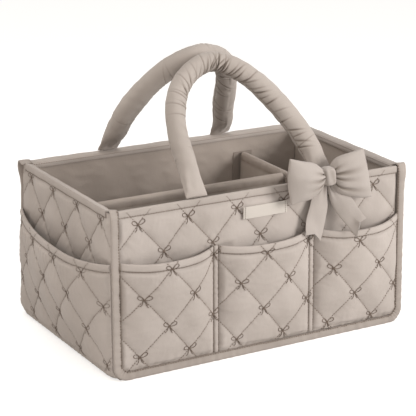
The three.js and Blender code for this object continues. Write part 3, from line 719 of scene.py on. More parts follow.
def pocket_grid(wall):
    """The stops across and up a wall's pockets at which their cloth is meshed."""
    _, half, bottom, mouth = pocket_sizes(wall)
    seams = SEAMS if wall in SIDE_POUCHES else []
    edge = half - EDGE_UNDER_TAPE
    columns = finer(steps(-half, half, CLOTH_PITCH), [-edge, *seams, edge])
    rows = steps(bottom, mouth - LIP_RADIUS, CLOTH_PITCH)
    return columns, finer(rows, [bottom + EDGE_UNDER_TAPE, mouth - POCKET_HEM])


def pocket_points(wall, u, z, lift=0.0):
    """Points on the meshed cloth of a wall's pockets, lifted a little off it."""
    out, height = meshed(lambda *spot: pocket_cloth(wall, *spot)[:2], u, z, *pocket_grid(wall))
    return on_wall(wall, u, out + lift, height)


def pocket_rings(wall):
    """Rings round a wall's pockets, one for each u: up the outside, over the mouth and down the back."""
    _, half, bottom, mouth = pocket_sizes(wall)
    columns, rows = pocket_grid(wall)
    down = steps(mouth - LIP_RADIUS, bottom, 0.004)
    out, height, crease_shade = pocket_cloth(wall, *grid_of(columns, rows))
    u = columns[:, None]
    depth, dip = pouch_at(wall, u + 0 * down)
    share = np.clip((down - bottom) / (mouth - bottom), 0, 1)
    back = GAP + depth * bulge(share)
    back_height = down - dip * share**3
    if wall not in SIDE_POUCHES:
        back_height = back_height + foot_rise(half - np.abs(u), down - bottom)
    turn = np.radians([30, 60, 90, 120, 150])
    middle, radius = (out[:, -1:] + back[:, :1]) / 2, (out[:, -1:] - back[:, :1]) / 2
    lip = middle + radius * np.cos(turn)
    outs = np.concatenate([out, lip, back], 1)
    heights = np.concatenate([height, height[:, -1:] + LIP_RADIUS * np.sin(turn), back_height], 1)
    # Painted shade: the outside keeps its shade, the lip takes that of the mouth, the back has none
    crease_shades = np.concatenate([crease_shade, crease_shade[:, -1:] + 0 * lip, 0 * back], 1)
    if wall not in SIDE_POUCHES:
        # The end pockets roll under at the foot, as high as the binding's corners at their two sides
        roll = np.radians([84, 70, 56, 42, 28, 14])
        foot_out = out[:, :1] - height[:, :1] * (1 - np.cos(roll))
        foot_height = height[:, :1] * (1 - 0.97 * np.sin(roll))
        outs = np.concatenate([foot_out, outs, back[:, -1:] - 0.0006], 1)
        heights = np.concatenate([foot_height, heights, back_height[:, -1:] - 0.004], 1)
        crease_shades = np.pad(crease_shades, ((0, 0), (len(roll), 1)))
    return on_wall(wall, u, outs, heights), crease_shades


def wall_cloth(wall, u, z, seed=41):
    """The outer face of a wall's cover: (out, painted crease shade). It is padded above the pocket's mouth.
    """
    lattice, half = wall_sizes(wall)
    mouth = pocket_sizes(wall)[3]
    height, crease_shade = quilted(u, z, lattice, seed)
    depth, _ = pouch_at(wall, u)
    to_side, to_hem = half - np.abs(u), HEM_BOTTOM - z
    behind = smooth(0.004, 0.008, depth) * smooth(0.06, 0.09, z)
    held = np.maximum(smooth(mouth - 0.004, mouth + 0.004, z), behind)
    held = held * smooth(0, 0.005, to_side) * smooth(-0.001, 0.006, to_hem)
    tugs = ripple(u, z, 0.0055, seed + 3, 0.0, 0.3) * fading(to_hem / 0.008)
    crease_shade = crease_shade * np.maximum(held, 0.2)
    if wall in SIDE_POUCHES:
        # Painted shade beside the tape
        beside = np.maximum(to_side - EDGE_UNDER_TAPE / 2, 0)
        crease_shade = np.maximum(crease_shade, 1.5 * fading(beside / SHADE_WIDTH))
    return (height + 0.00016 * tugs) * held, crease_shade


def wall_grid(wall):
    """The stops across and up a wall at which its cover is meshed: coarse behind the pockets."""
    half = wall_sizes(wall)[1]
    up = np.concatenate([steps(WALL_BOTTOM, 0.08, 0.006), steps(0.082, WALL_TOP, CLOTH_PITCH)])
    return steps(-half, half, CLOTH_PITCH), up


def wall_points(wall, u, z, lift=0.0):
    """Points on the meshed cover of a wall, lifted a little off it."""
    (out,) = meshed(lambda *spot: wall_cloth(wall, *spot)[:1], u, z, *wall_grid(wall))
    return on_wall(wall, u, out + lift, z)


def wall_rings(wall):
    """Rings round a wall's cover, one for each u: up the outside and down the back."""
    columns, up = wall_grid(wall)
    down = steps(WALL_TOP, WALL_BOTTOM, 0.03)
    out, crease_shade = wall_cloth(wall, *grid_of(columns, up))
    beside = ((0, 0), (0, len(down)))
    outs = np.pad(out, beside, constant_values=-COVER)
    return on_wall(wall, columns[:, None], outs, np.concatenate([up, down])), np.pad(crease_shade, beside)


def build_wall(wall):
    """Cover and pockets of one wall, with their quilting, small bows and seams sewn in."""
    side = wall in SIDE_POUCHES
    lattice, half, bottom, mouth = pocket_sizes(wall)
    wall_lattice = wall_sizes(wall)[0]
    panel = (PANEL_HALF if side else END_HALF) - 0.002
    pieces = (
        (f"{wall}_quilted_cover", f"{wall}_cover", wall_rings),
        (f"{wall}_quilted_pockets", f"{wall}_pockets" if side else f"{wall}_pocket", pocket_rings),
    )
    for name, node_name, rings in pieces:
        soft_piece(name, node_name, "quilted_fabric", QUILT_CLOTH, *rings(wall), full=0.5)

    def traced(draw, lift, margin, under_mouth, over_wall):
        """Lines drawn over the pockets and over the wall above them."""
        low = draw(lattice, half - margin, bottom, mouth - under_mouth)
        high = draw(wall_lattice, panel, mouth - over_wall, HEM_BOTTOM)
        runs = [pocket_points(wall, *line.T, lift) for line in low]
        return runs + [wall_points(wall, *line.T, lift) for line in high]

    fineness = 1.0 if side else END_THREAD_SHARE
    hem = steps(PATH_PITCH - half, half - PATH_PITCH, PATH_PITCH)
    runs = traced(quilt_lines, QUILT_LIFT, 0.001, 0.0005, 0.016)
    runs.append(pocket_points(wall, hem, np.full_like(hem, mouth - POCKET_HEM), SEAM_LIFT))
    sew(f"{wall}_quilt_stitches", runs, radius=QUILT_THREAD * fineness)
    runs = traced(motif_lines, MOTIF_LIFT, 0.0, 0.004, 0.006)
    sew(f"{wall}_sewn_bows", runs, THREAD_DARK, "shell",
        MOTIF_PITCH, MOTIF_LENGTH, MOTIF_THREAD * fineness)
    if side:
        z = steps(bottom + 0.001, mouth - 0.0005, PATH_PITCH)
        seams = [pocket_points(wall, np.full_like(z, seam), z, SEAM_LIFT) for seam in SEAMS]
        sew(f"{wall}_seam_stitches", seams)


for wall_name in TURNS:
    build_wall(wall_name)


# Rim hems
def rim_profile():
    """The folded hem across a wall, as (depth into the wall, height): flat faces and close turns."""
    radius, inner_top = 0.0014, HEIGHT - RIM_FALL
    outer_full, inner_full, under_top = 0.0003, 0.0002, 0.0015
    outer_flat, inner_flat = (top - radius - HEM_BOTTOM for top in (HEIGHT, inner_top))
    profile = [(HEM_OUTER + outer_full, HEM_BOTTOM)]
    for share in np.arange(1, 5) / 5:
        out = outer_full * math.sin(math.pi * share)
        profile.append((HEM_OUTER - out, HEM_BOTTOM + outer_flat * share))
    profile += arc(HEM_OUTER + radius, HEIGHT - radius, radius, np.arange(180, 89, -18))
    profile.append(((HEM_OUTER + HEM_INNER) / 2, (HEIGHT + inner_top) / 2 + inner_full))
    profile += arc(HEM_INNER - radius, inner_top - radius, radius, np.arange(90, -1, -18))
    for share in np.arange(1, 4) / 4:
        height = inner_top - radius - inner_flat * share
        profile.append((HEM_INNER + inner_full * math.sin(math.pi * share), height))
    profile.append((HEM_INNER - inner_full, HEM_BOTTOM))
    profile += [(HEM_INNER - HEM_THICKNESS, z) for z in (HEM_BOTTOM, inner_top - under_top)]
    profile += [(HEM_OUTER + HEM_THICKNESS, z) for z in (HEIGHT - under_top, HEM_BOTTOM)]
    return np.array(profile)


RIM = rim_profile()


def rim_points(wall, u, depth, z, lift=0.0):
    """A point on the hem. Soft bumps along it keep the fold from being a straight edge."""
    bumps = 0.00018 * ripple(u, 0 * u, 0.030, 61 + len(wall)) + 0.00006 * ripple(u, 0 * u, 0.007, 62)
    face = np.where(depth < STACK / 2, 1.0, -0.4)
    return on_wall(wall, u, -depth + face * (bumps + lift), z + 0.4 * bumps * smooth(0.174, HEIGHT, z))


def build_rim(wall):
    """The hem of one wall, with its stitches inside and out and the quilting that runs on over it."""
    side = wall in SIDE_POUCHES
    half = PANEL_HALF - GAP if side else RIM_FACE - STACK - 2 * GAP - HEM_THICKNESS
    reach = half if side else half * END_HALF / (END_HALF - LEAN * HEIGHT)
    u, depth = grid_of(steps(-reach, reach, 0.0022), RIM[:, 0])
    z = np.broadcast_to(RIM[:, 1], u.shape)
    # Painted shade: the whole hem a little darker, and darker still along the fold at its lower outer edge
    crease_shade = 0.25 + 0.7 * fading(np.abs(z - HEM_BOTTOM) / 0.0009) * (depth < 0)
    points = rim_points(wall, u, depth, z)
    soft_piece(f"{wall}_rim_hem", f"{wall}_rim", "quilted_fabric", QUILT_CLOTH, points, crease_shade)
    ends = steps(PATH_PITCH - reach, reach - PATH_PITCH, PATH_PITCH)
    runs = []
    rows = ((-0.0016, 0.0009, MOTIF_LIFT), (HEM_INNER, 0.0010, 0.0), (HEM_INNER, 0.0050, 0.0))
    for inset, rise, lift in rows:
        level = np.full_like(ends, HEM_BOTTOM + rise)
        runs.append(rim_points(wall, ends, np.full_like(ends, inset), level, lift))
    sew(f"{wall}_rim_stitches", runs, radius=RIM_THREAD)
    if side:
        runs = []
        for line in quilt_lines(WALL_LATTICE, half - 0.002, HEM_BOTTOM + 0.001, HEIGHT - RIM_FALL):
            u, z = line.T
            runs.append(rim_points(wall, u, np.full_like(u, -0.0018), z, QUILT_LIFT))
        sew(f"{wall}_rim_quilting", runs, pitch=0.0014, length=0.0017,
            radius=RIM_QUILT_THREAD)


for wall_name in TURNS:
    build_rim(wall_name)


# Binding tape round the long panels
def binding_path():
    """The tape's middle line as (u, out, z), its width direction and the way that it faces."""
    middle, low, bend = LENGTH / 2 - BINDING_WIDTH / 2, BINDING_WIDTH / 2, BINDING_BEND
    top, fold, over_rim, pitch = HEIGHT + 0.0002, 0.0016, 0.0070, 0.0012
    up, out_of = (0, 0, 1), (0, 1, 0)
    stops = []
    for out in steps(-fold - over_rim, -fold, pitch):
        stops.append(((-middle, out, top + RIM_FALL * (out + fold) / over_rim), (-1, 0, 0), up))
    for turn in np.radians([67, 45, 22]):
        cos, sin = math.cos(turn), math.sin(turn)
        stops.append(((-middle, -fold + fold * cos, top - fold + fold * sin), (-1, 0, 0), (0, cos, sin)))
    for z in steps(top - fold, low + bend, pitch):
        stops.append(((-middle, 0, z), (-1, 0, 0), out_of))
    for turn in np.radians(np.arange(6, 90, 6)):
        cos, sin = math.cos(turn), math.sin(turn)
        stops.append(((-middle + bend - bend * cos, 0, low + bend - bend * sin), (-cos, 0, -sin), out_of))
    for u in steps(-middle + bend, 0, pitch):
        stops.append(((u, 0, low), (0, 0, -1), out_of))
    half = np.array(stops, float)
    other = half[:-1][::-1] * (-1, 1, 1)
    return np.vstack([half, other]).transpose(1, 0, 2)


def build_binding(wall):
    """A soft rounded tape, fuller towards its outer edge, with a line of stitches near its inner one."""
    spots, widths, faces = binding_path()
    along = distance_along(spots)[:, None]
    half_width, thick = BINDING_WIDTH / 2, BINDING_THICKNESS
    outer_full, sewn_in, shade_width, wrinkle_pitch = 0.0006, 0.0012, 0.0012, 0.0036
    angle = np.radians(np.arange(0, 360, 18))
    cos, sin = np.cos(angle), np.sin(angle)
    across = np.sign(cos) * np.abs(cos) ** 0.7 * half_width
    facing = thick / 2 + np.sign(sin) * np.abs(sin) ** 1.1 * thick / 2
    facing = facing + outer_full * (1 + across / half_width) * (sin > 0)
    left = spots[:, :1] < 0
    flare = smooth(0.150, HEIGHT, spots[:, 2:]) * np.where(left, *BINDING_FLARES[wall])
    turning = 2 * np.abs(widths[:, :1] * widths[:, 2:])
    inner_share = np.where(left, *BINDING_INNER_SHARES[wall]) + 0.35 * turning
    narrowed = across * np.where(across < 0, inner_share, 1.0)
    spread = narrowed * (1 + flare / BINDING_WIDTH) + flare / 2
    thin = 1 - 0.55 * smooth(HEIGHT - 0.007, HEIGHT, spots[:, 2:])
    puff = 0.00016 * ripple(along, across * 0.5, 0.010, 71, 0.0, 0.5)
    puff = puff + 0.00035 * turning * np.sin(math.tau * along / wrinkle_pitch)
    rise = facing * thin + GAP + puff * (sin > 0.2)
    rings = spots[:, None] + widths[:, None] * spread[..., None] + faces[:, None] * rise[..., None]
    # Painted shade along the tape's inner edge, on its outer face
    shade = 1.6 * fading((across + half_width) / shade_width) * (sin > 0)
    crease_shade = np.broadcast_to(shade, rings.shape[:2])
    points = on_wall(wall, *np.moveaxis(rings, -1, 0))
    soft_piece(f"{wall}_bound_edge", f"{wall}_binding", "plain_fabric", TAPE_CLOTH, points, crease_shade)
    inner = spots - widths * (half_width * inner_share - sewn_in)
    inner = inner + faces * (GAP + (thick - 0.0003) * thin)
    path = on_wall(wall, *respaced(inner[9:-9], PATH_PITCH).T)
    sew(f"{wall}_edge_stitches", [path], length=0.0021, radius=EDGE_THREAD)


for wall_name in SIDE_POUCHES:
    build_binding(wall_name)


# Lining and base
def build_lining(wall):
    """The lining of one wall, a little uneven where it isn't held."""
    half = wall_sizes(wall)[1]
    front, back = 0.0004 - STACK, 0.0012 - STACK
    u, z = grid_of(steps(-half, half, LINING_PITCH), steps(WALL_BOTTOM, WALL_TOP, LINING_PITCH))
    calm = smooth(0, 0.01, half - np.abs(u)) * smooth(0, HEM_DEPTH, HEM_BOTTOM - z)
    calm = calm * smooth(0, 0.006, z - 0.01)
    relief = 0.00045 * ripple(u, z, 0.045, 81) + 0.0002 * ripple(u, z, 0.012, 82, math.pi / 2, 0.6)
    out = front - np.maximum(relief * calm - 0.0001, -0.0003)
    outs = np.pad(out, ((0, 0), (0, 2)), constant_values=back)
    ring = [*range(u.shape[1]), -1, 0]
    points = on_wall(wall, u[:, ring], outs, z[:, ring])
    soft_piece(f"{wall}_lining_cloth", f"{wall}_lining", "lining", LINING_CLOTH, points)


for wall_name in TURNS:
    build_lining(wall_name)


def build_base():
    """The lining on the floor, a little uneven, and the outer cloth with its turned-up sides."""
    low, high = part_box("base_lining")
    pitch, bumps = 0.004, 0.0006
    wide, tall = grid_of(steps(0, high.x - low.x, pitch), steps(0, high.y - low.y, pitch))
    to_edge = np.minimum(np.minimum(wide, wide[-1, 0] - wide), np.minimum(tall, tall[0, -1] - tall))
    uneven = bumps * smooth(0, 0.012, to_edge) * (0.6 + 0.5 * ripple(wide, tall, 0.05, 91))
    uneven = uneven + 0.2 * bumps * ripple(wide, tall, 0.014, 92)
    face = np.stack([low.x + wide, low.y + tall, high.z + uneven], -1)
    back = face[:, [-1, 0]]
    back[..., 2] = low.z
    soft_piece("floor_lining", "base_lining", "lining", LINING_CLOTH, np.concatenate([face, back], 1))

    low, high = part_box("base_cover")
    inset, corner, top = 0.0045, 0.004, 0.0062
    half = high.x - inset
    left = [(-half, top), (-half, corner), *arc(corner - half, corner, corner, [210, 240])]
    under = [(x, 0.0) for x in steps(corner - half, half - corner, 0.01)]
    inner = [(corner - half, COVER), (COVER - half, corner), (COVER - half, top)]
    profile = np.array([*left, *under, *mirrored(left), *mirrored(inner), *inner])
    y, x = grid_of(steps(low.y, high.y, 0.006), profile[:, 0])
    points = np.stack([x, y, np.broadcast_to(profile[:, 1], x.shape)], -1)
    soft_piece("base_cloth", "base_cover", "plain_fabric", PLAIN_CLOTH, points)


build_base()


# Handles
HANDLE_SPAN = 0.080
HANDLE_RISE = 0.145
HANDLE_RADIUS = 0.012
SLIM_RADIUS = 0.0105
FOOT_HALF_WIDTH = 0.0125
FOOT_RADIUS = 0.0035
FLAT_LENGTH = 0.034
FILLING_SHARE = 0.8
FILLING_SETBACK = 0.018
ROUTE_PITCH = 0.0007
BEND_STOPS = 27
TIGHT_BEND = 18
DEEP_CREASE = 0.0016
FOOT_FOLD = 0.00045
FOOT_FOLD_REACH = 0.022
SEAM_GROOVE = 0.0006
SEAM_GROOVE_WIDTH = 0.0009
HANDLE_ROUTES = {
    "front": (
        (-1, 0), (-1, 0.24), (-0.98, 0.485), (-0.85, 0.73), (-0.535, 0.915), (-0.18, 0.985),
        (0.15, 0.915), (0.445, 0.755), (0.705, 0.515), (0.87, 0.275), (0.96, 0),
    ),
    "rear": (
        (-0.97, 0), (-0.955, 0.2), (-0.92, 0.44), (-0.77, 0.69), (-0.48, 0.91), (-0.145, 1),
        (0.15, 0.95), (0.39, 0.81), (0.57, 0.55), (0.7, 0.3), (0.83, 0.09), (0.86, 0),
    ),
}
AXIS_DEPTH = RIM_FACE - (STACK + GAP + HEM_THICKNESS + HEM_OUTER) / 2
AXIS_HEIGHT = HEIGHT + GAP + FOOT_RADIUS
HANDLE_LEAN = math.asin((AXIS_DEPTH - HANDLE_RADIUS - GAP / 2) / HANDLE_RISE)


def handle_creases(seed, length, bend, facing):
    """Where a handle's cloth buckles: place along, turn round the tube, reach, depth, slant and width."""
    rng = np.random.default_rng(seed)
    draw = rng.uniform
    quarter = math.pi / 2
    marks = []
    place = FLAT_LENGTH
    while place < length - FLAT_LENGTH:
        tight = np.interp(place, np.linspace(0, length, len(bend)), bend)
        marks.append((
            place, facing * draw(0.0, 0.7) - quarter, draw(0.35, 0.75) + 0.5 * tight,
            draw(0.0011, 0.0025) * (0.6 + 0.9 * tight), facing * draw(0.1, 0.9), draw(0.0009, 0.0014),
        ))
        if draw() < 0.2 + 0.4 * tight:
            marks.append((
                place + 0.004, quarter * (1 + facing * draw(0.3, 1.2)), draw(0.4, 0.9),
                draw(0.0008, 0.0017), facing * draw(-0.5, 0.5), draw(0.0009, 0.0013),
            ))
        if draw() < 0.55 * tight:
            marks.append((
                place - 0.003, facing * draw(0.2, 0.9) - quarter, draw(1.3, 1.9),
                draw(0.0009, 0.0014), facing * draw(-0.3, 0.5), 0.0009,
            ))
        place += draw(0.006, 0.014) * (1.3 - 0.7 * tight)
    return marks


def round_from(turn, start):
    """How far round a tube an angle lies from a start, from minus to plus half a turn."""
    return (turn - start + math.pi) % math.tau - math.pi


def build_handle(name, sign, seed):
    """A stuffed tube from foot to foot, buckled inside its bends and sewn along its underside."""
    path = through(np.array(HANDLE_ROUTES[name]) * (HANDLE_SPAN, HANDLE_RISE), ROUTE_PITCH)
    tangent = np.gradient(path, axis=0)
    tangent /= np.linalg.norm(tangent, axis=1, keepdims=True)
    out_way = np.stack([-tangent[:, 1], tangent[:, 0]], 1)
    along = distance_along(path)
    length = along[-1]
    bend = np.abs(np.gradient(np.unwrap(np.arctan2(tangent[:, 1], tangent[:, 0])), along))
    bend = np.clip(np.convolve(bend, np.ones(BEND_STOPS) / BEND_STOPS, "same") / TIGHT_BEND, 0, 1.2)
    from_foot = np.minimum(along, length - along)[:, None]
    round_share = smooth(0, FLAT_LENGTH, from_foot)
    radius = HANDLE_RADIUS
    if name == "front":
        radius = SLIM_RADIUS + (HANDLE_RADIUS - SLIM_RADIUS) * smooth(-0.01, 0.05, path[:, :1])
    wide = FOOT_HALF_WIDTH + (radius - FOOT_HALF_WIDTH) * round_share
    deep = FOOT_RADIUS + (radius - FOOT_RADIUS) * round_share
    angle = np.linspace(0, math.tau, 64, endpoint=False)
    place, turn = grid_of(along, angle)
    relief = UNEVEN * ripple(place, turn * HANDLE_RADIUS, 0.050, seed)
    relief = relief + UNEVEN / 3 * ripple(place, turn * HANDLE_RADIUS, 0.012, seed + 1, 0.0, 0.9)
    crease_shade = np.zeros_like(place)
    for spot, centre, reach, depth, slant, width in handle_creases(seed + 2, length, bend, -sign):
        apart = round_from(turn, centre)
        across = (place - spot - slant * apart * HANDLE_RADIUS) / width
        fade = bell(apart / reach)
        relief = relief - depth * fade * (fading(np.abs(across) ** 1.3) - 0.5 * bell(across / 2.8))
        # Painted shade in each crease, the darker the deeper it is
        crease_shade = np.maximum(crease_shade, 1.9 * fade * fading(2.0 * across**2) * depth / DEEP_CREASE)
    folds = np.cos(5 * turn + 0.6) + 0.6 * np.cos(8 * turn)
    relief = relief + FOOT_FOLD * folds * bell(from_foot / FOOT_FOLD_REACH) * smooth(0, 0.006, from_foot)
    under = round_from(turn, 1.5 * math.pi) * HANDLE_RADIUS
    relief = relief - SEAM_GROOVE * bell(under / SEAM_GROOVE_WIDTH) * round_share
    relief = relief * smooth(0, 0.004, from_foot)

    def tube(share, bumps):
        """Rings about the path, with the inside of the arch at the angle of minus a quarter turn."""
        inward = np.sin(turn) * (wide * share + bumps)
        sideways = np.cos(turn) * (deep * share + bumps)
        arch = path[:, None] + out_way[:, None] * inward[..., None]
        return np.stack([arch[..., 0], sideways, arch[..., 1]], -1)

    def sole(ring, drops):
        """Rings that round off the foot under its last ring."""
        shrinks = [math.sqrt(1 - drop * drop) for drop in drops]
        return [ring * (1, part, part) - (0, 0, FOOT_RADIUS * drop) for drop, part in zip(drops, shrinks)]

    def placed(points):
        """Points of the upright handle, leaned and moved onto the rim."""
        cos, sin = math.cos(HANDLE_LEAN), math.sin(HANDLE_LEAN)
        y = points[..., 1] * cos + points[..., 2] * sin - AXIS_DEPTH
        z = points[..., 2] * cos - points[..., 1] * sin + AXIS_HEIGHT
        return np.stack([points[..., 0], sign * y, z], -1)

    body = f"{name}_handle"
    skin = tube(1.0, relief)
    whole = np.concatenate([sole(skin[0], (0.97, 0.8, 0.5)), skin, sole(skin[-1], (0.5, 0.8, 0.97))])
    soft_piece(f"{body}_padded", f"{body}_cover", "plain_fabric", PLAIN_CLOTH, placed(whole),
               np.pad(crease_shade, ((3, 3), (0, 0))), body, sharp=60, full=0.85)
    filling = tube(FILLING_SHARE, 0.0)[from_foot[:, 0] > FILLING_SETBACK]
    soft_piece(f"{body}_filling", f"{body}_core", "padding", PADDING, placed(filling), body=body)
    seam = placed(skin[:, round(0.75 * len(angle))])
    outward = seam - placed(np.insert(path, 1, 0, axis=1))
    seam = seam + 0.0002 * outward / np.linalg.norm(outward, axis=1, keepdims=True)
    sew(f"{body}_seam", [respaced(seam[10:-10], PATH_PITCH)], THREAD_SOFT, body,
        0.0034, 0.003, HANDLE_THREAD)


build_handle("front", 1, 101)
build_handle("rear", -1, 131)


# Bow
BOW_RIGHT = 0.0735
KNOT_HALF = (0.0084, 0.0080, 0.0104)
BOW_DEPTH = RIM_FACE - HEM_OUTER + GAP + 0.007
BOW_HEIGHT = HEIGHT + 0.0055
RIBBON_HALF_THICKNESS = 0.0009
OUTLINE_PITCH = 0.0005
LOOP_FULLNESS = 0.0170
LOOP_ROOT = 0.009
LOOP_EDGE = 0.0016
LOOP_REACH_OUT = 0.008
KNOT_FOLD_SHARE = 0.032
TAIL_CAMBER = 0.0022
TAIL_FOLD = 0.0015

# Outlines of the loops and tails as (right, height): upper and lower edge, or left and right edge
LEFT_LOOP = (
    ((0.0685, 0.1925), (0.0545, 0.2022), (0.0380, 0.2073), (0.0210, 0.2125)),
    ((0.0685, 0.1780), (0.0605, 0.1690), (0.0500, 0.1645), (0.0365, 0.1635), (0.0245, 0.1628)),
)
RIGHT_LOOP = (
    ((0.0785, 0.1935), (0.0830, 0.2030), (0.0990, 0.2088), (0.1145, 0.2115)),
    ((0.0785, 0.1780), (0.0845, 0.1665), (0.0980, 0.1600), (0.1150, 0.1565), (0.1280, 0.1560)),
)
LEFT_TAIL = (
    ((0.0700, 0.1775), (0.0585, 0.1685), (0.0533, 0.1560), (0.0480, 0.1390), (0.0450, 0.1243)),
    ((0.0735, 0.1775), (0.0763, 0.1665), (0.0765, 0.1525), (0.0708, 0.1320), (0.0647, 0.1150)),
)
RIGHT_TAIL = (
    ((0.0750, 0.1775), (0.0780, 0.1575), (0.0853, 0.1412), (0.0930, 0.1296), (0.1007, 0.1175)),
    ((0.0798, 0.1775), (0.0930, 0.1666), (0.1020, 0.1574), (0.1074, 0.1471), (0.1119, 0.1378)),
)

# Folds that start at the knot: share of the height, turn with the way out, reach, depth
LEFT_FOLDS = (
    (0.12, -0.10, 0.30, 0.0044), (0.30, -0.04, 0.40, 0.0048),
    (0.50, 0.03, 0.44, 0.0046), (0.70, 0.10, 0.30, 0.0038),
)
RIGHT_FOLDS = (
    (0.20, -0.02, 0.62, 0.0052), (0.44, 0.02, 0.42, 0.0038),
    (0.60, 0.10, 0.56, 0.0036), (0.80, 0.06, 0.24, 0.0026),
)


def both_faces(front, rear):
    """Rings that run up one face of a cloth and back down the other."""
    return np.concatenate([front, rear[:, ::-1]], 1)


def bow_loop(name, side, edges, folds, edge_bow, seed):
    """One plump loop between two outlines, with a few sharp folds that start at the knot."""
    along, up = grid_of(np.linspace(0, 1, 56), np.linspace(0, 1, 72))
    top, low = (evenly(through(edge, OUTLINE_PITCH), len(along))[:, None] for edge in edges)
    x, z = np.moveaxis(low + (top - low) * up[..., None], -1, 0)
    x = x + side * edge_bow * np.sin(math.pi * up) * along**2
    over = np.sin(math.pi * up) ** 0.5
    plump = LOOP_FULLNESS * np.sin(math.pi * along**1.2) ** 0.7 * over + LOOP_ROOT * (1 - along) * over
    half = (LOOP_EDGE + plump) / 2
    gather = np.zeros_like(x)
    crease_shade = np.zeros_like(x)
    for centre, turn, reach, depth in folds:
        width = 0.036 + 0.05 * along
        off = up - centre - turn * along
        fade = bell(along / reach) * smooth(0, 0.04, along)
        valley = bell(off / width)
        gather += depth * fade * (0.5 * bell(off / (2.4 * width)) - valley)
        # Painted shade in the fold valleys, weaker on the loop's back face
        crease_shade = np.maximum(crease_shade, 2.0 * fade * valley)
    soft = 0.0006 * ripple(x, z, 0.030, seed) * over * np.sin(math.pi * along)
    lift = half + (gather + soft) * np.where(half > 0.0012, 1, 0.3) * over
    middle = -BOW_DEPTH - LOOP_REACH_OUT * np.sin(along * math.pi / 2)
    front, rear = (np.stack([x, middle + way * np.maximum(lift, 0.0006), z], -1) for way in (-1, 1))
    soft_piece(name, name.replace("_cloth", ""), "plain_fabric", SHADED_BOW_CLOTH, both_faces(front, rear),
               both_faces(crease_shade, 0.6 * crease_shade), sharp=70, full=0.7)


def bow_knot():
    """The turn of cloth round the bow's middle, with soft folds down its front."""
    up, turn = grid_of(np.linspace(-1, 1, 33), np.linspace(0, math.tau, 64, endpoint=False))
    waist = 1 - 0.08 * (1 - up**2)
    round_off = (1 - np.abs(up) ** 4) ** 0.42 * 0.98 + 0.02
    folds = KNOT_FOLD_SHARE * np.sin(turn * 6 + 1.2 * up + 0.5) * (1 - up**4)
    square_cos, square_sin = (np.sign(way) * np.abs(way) ** 0.65 for way in (np.cos(turn), np.sin(turn)))
    size = waist * round_off * (1 + folds)
    x = BOW_RIGHT - 0.0012 * up + KNOT_HALF[0] * size * square_cos
    y = -BOW_DEPTH - 0.0030 + KNOT_HALF[1] * size * square_sin
    points = np.stack([x, y, BOW_HEIGHT + KNOT_HALF[2] * up], -1)
    # Painted shade in the valleys of the knot's folds
    crease_shade = np.clip(-folds * 18, 0, 0.6)
    soft_piece("bow_knot_cloth", "bow_knot", "plain_fabric", SHADED_BOW_CLOTH, points, crease_shade, sharp=70)


def bow_tail(name, edges, forward, notch, seed):
    """A doubled ribbon that falls from the knot between two outlines, to a notched end."""
    along, over = grid_of(np.linspace(0, 1, 64), np.linspace(-1, 1, 29))
    left, right = (evenly(through(edge, OUTLINE_PITCH), len(along)) for edge in edges)
    middle = (left + right) / 2
    fall = (middle[-1] - middle[-8]) / np.linalg.norm(middle[-1] - middle[-8])
    flat = middle[:, None] + (right - left)[:, None] / 2 * over[..., None]
    x, z = np.moveaxis(flat - (notch * along**6 * (1 - np.abs(over)))[..., None] * fall, -1, 0)
    folds = np.cos(over * 6.5 + seed)
    relief = TAIL_CAMBER * (1 - over**2) * (0.35 + 0.65 * bell(along / 0.45))
    relief = relief + TAIL_FOLD * folds * bell(along / 0.24)
    relief = relief + 0.0007 * ripple(along * 0.07, over * 0.012, 0.035, seed)
    centre = 0.0025 - BOW_DEPTH - forward * along**1.4 - relief
    thick = RIBBON_HALF_THICKNESS * (1 - np.abs(over) ** 8 * 0.75) * (1 - 0.75 * along**24)
    front, rear = (np.stack([x, centre + way * thick, z], -1) for way in (-1, 1))
    # Painted shade in the tails' fold valleys near the knot
    crease_shade = 0.7 * np.clip(-folds, 0, 1) * bell(along / 0.16)
    tail = soft_piece(name, name.replace("_cloth", ""), "plain_fabric", SHADED_BOW_CLOTH, both_faces(front, rear),
                      both_faces(crease_shade, crease_shade), sharp=60)


bow_loop("bow_left_loop_cloth", -1, LEFT_LOOP, LEFT_FOLDS, 0.0035, 151)
bow_loop("bow_right_loop_cloth", 1, RIGHT_LOOP, RIGHT_FOLDS, 0.0010, 161)
bow_knot()
bow_tail("bow_left_tail_cloth", LEFT_TAIL, 0.0085, 0.005, 171)
bow_tail("bow_right_tail_cloth", RIGHT_TAIL, 0.0245, 0.008, 181)


# Label
def build_label():
    """A bare woven tape over the front wall's padding, sewn down near its two ends."""
    half, low, high, thickness, sewn_in = 0.027, 0.1505, 0.1635, 0.0006, 0.0022

    def out_at(u, z, lift):
        """The padding's face under the tape, evened out by the tape's stiffness."""
        return CROWN + GAP + lift + 0.25 * (wall_cloth("front", u, z)[0] - CROWN * 0.5)

    u, z = grid_of(steps(-half, half, PATH_PITCH), steps(low, high, PATH_PITCH))
    thick = thickness * (1 - (np.abs(u) / half) ** 30 * 0.6)
    soft = out_at(u, z, 0.0002)
    front, rear = (on_wall("front", u, out, z) for out in (soft + thick, soft - 0.0001))
    soft_piece("blank_label", "label", "label", LABEL_CLOTH, both_faces(front, rear))
    rise = steps(low + 0.001, high - 0.001, 0.0008)
    runs = []
    for edge in (sewn_in - half, half - sewn_in):
        u = np.full_like(rise, edge)
        runs.append(on_wall("front", u, out_at(u, rise, 0.0010), rise))
    sew("label_stitches", runs, THREAD_SOFT, pitch=0.0022, radius=LABEL_THREAD)


build_label()


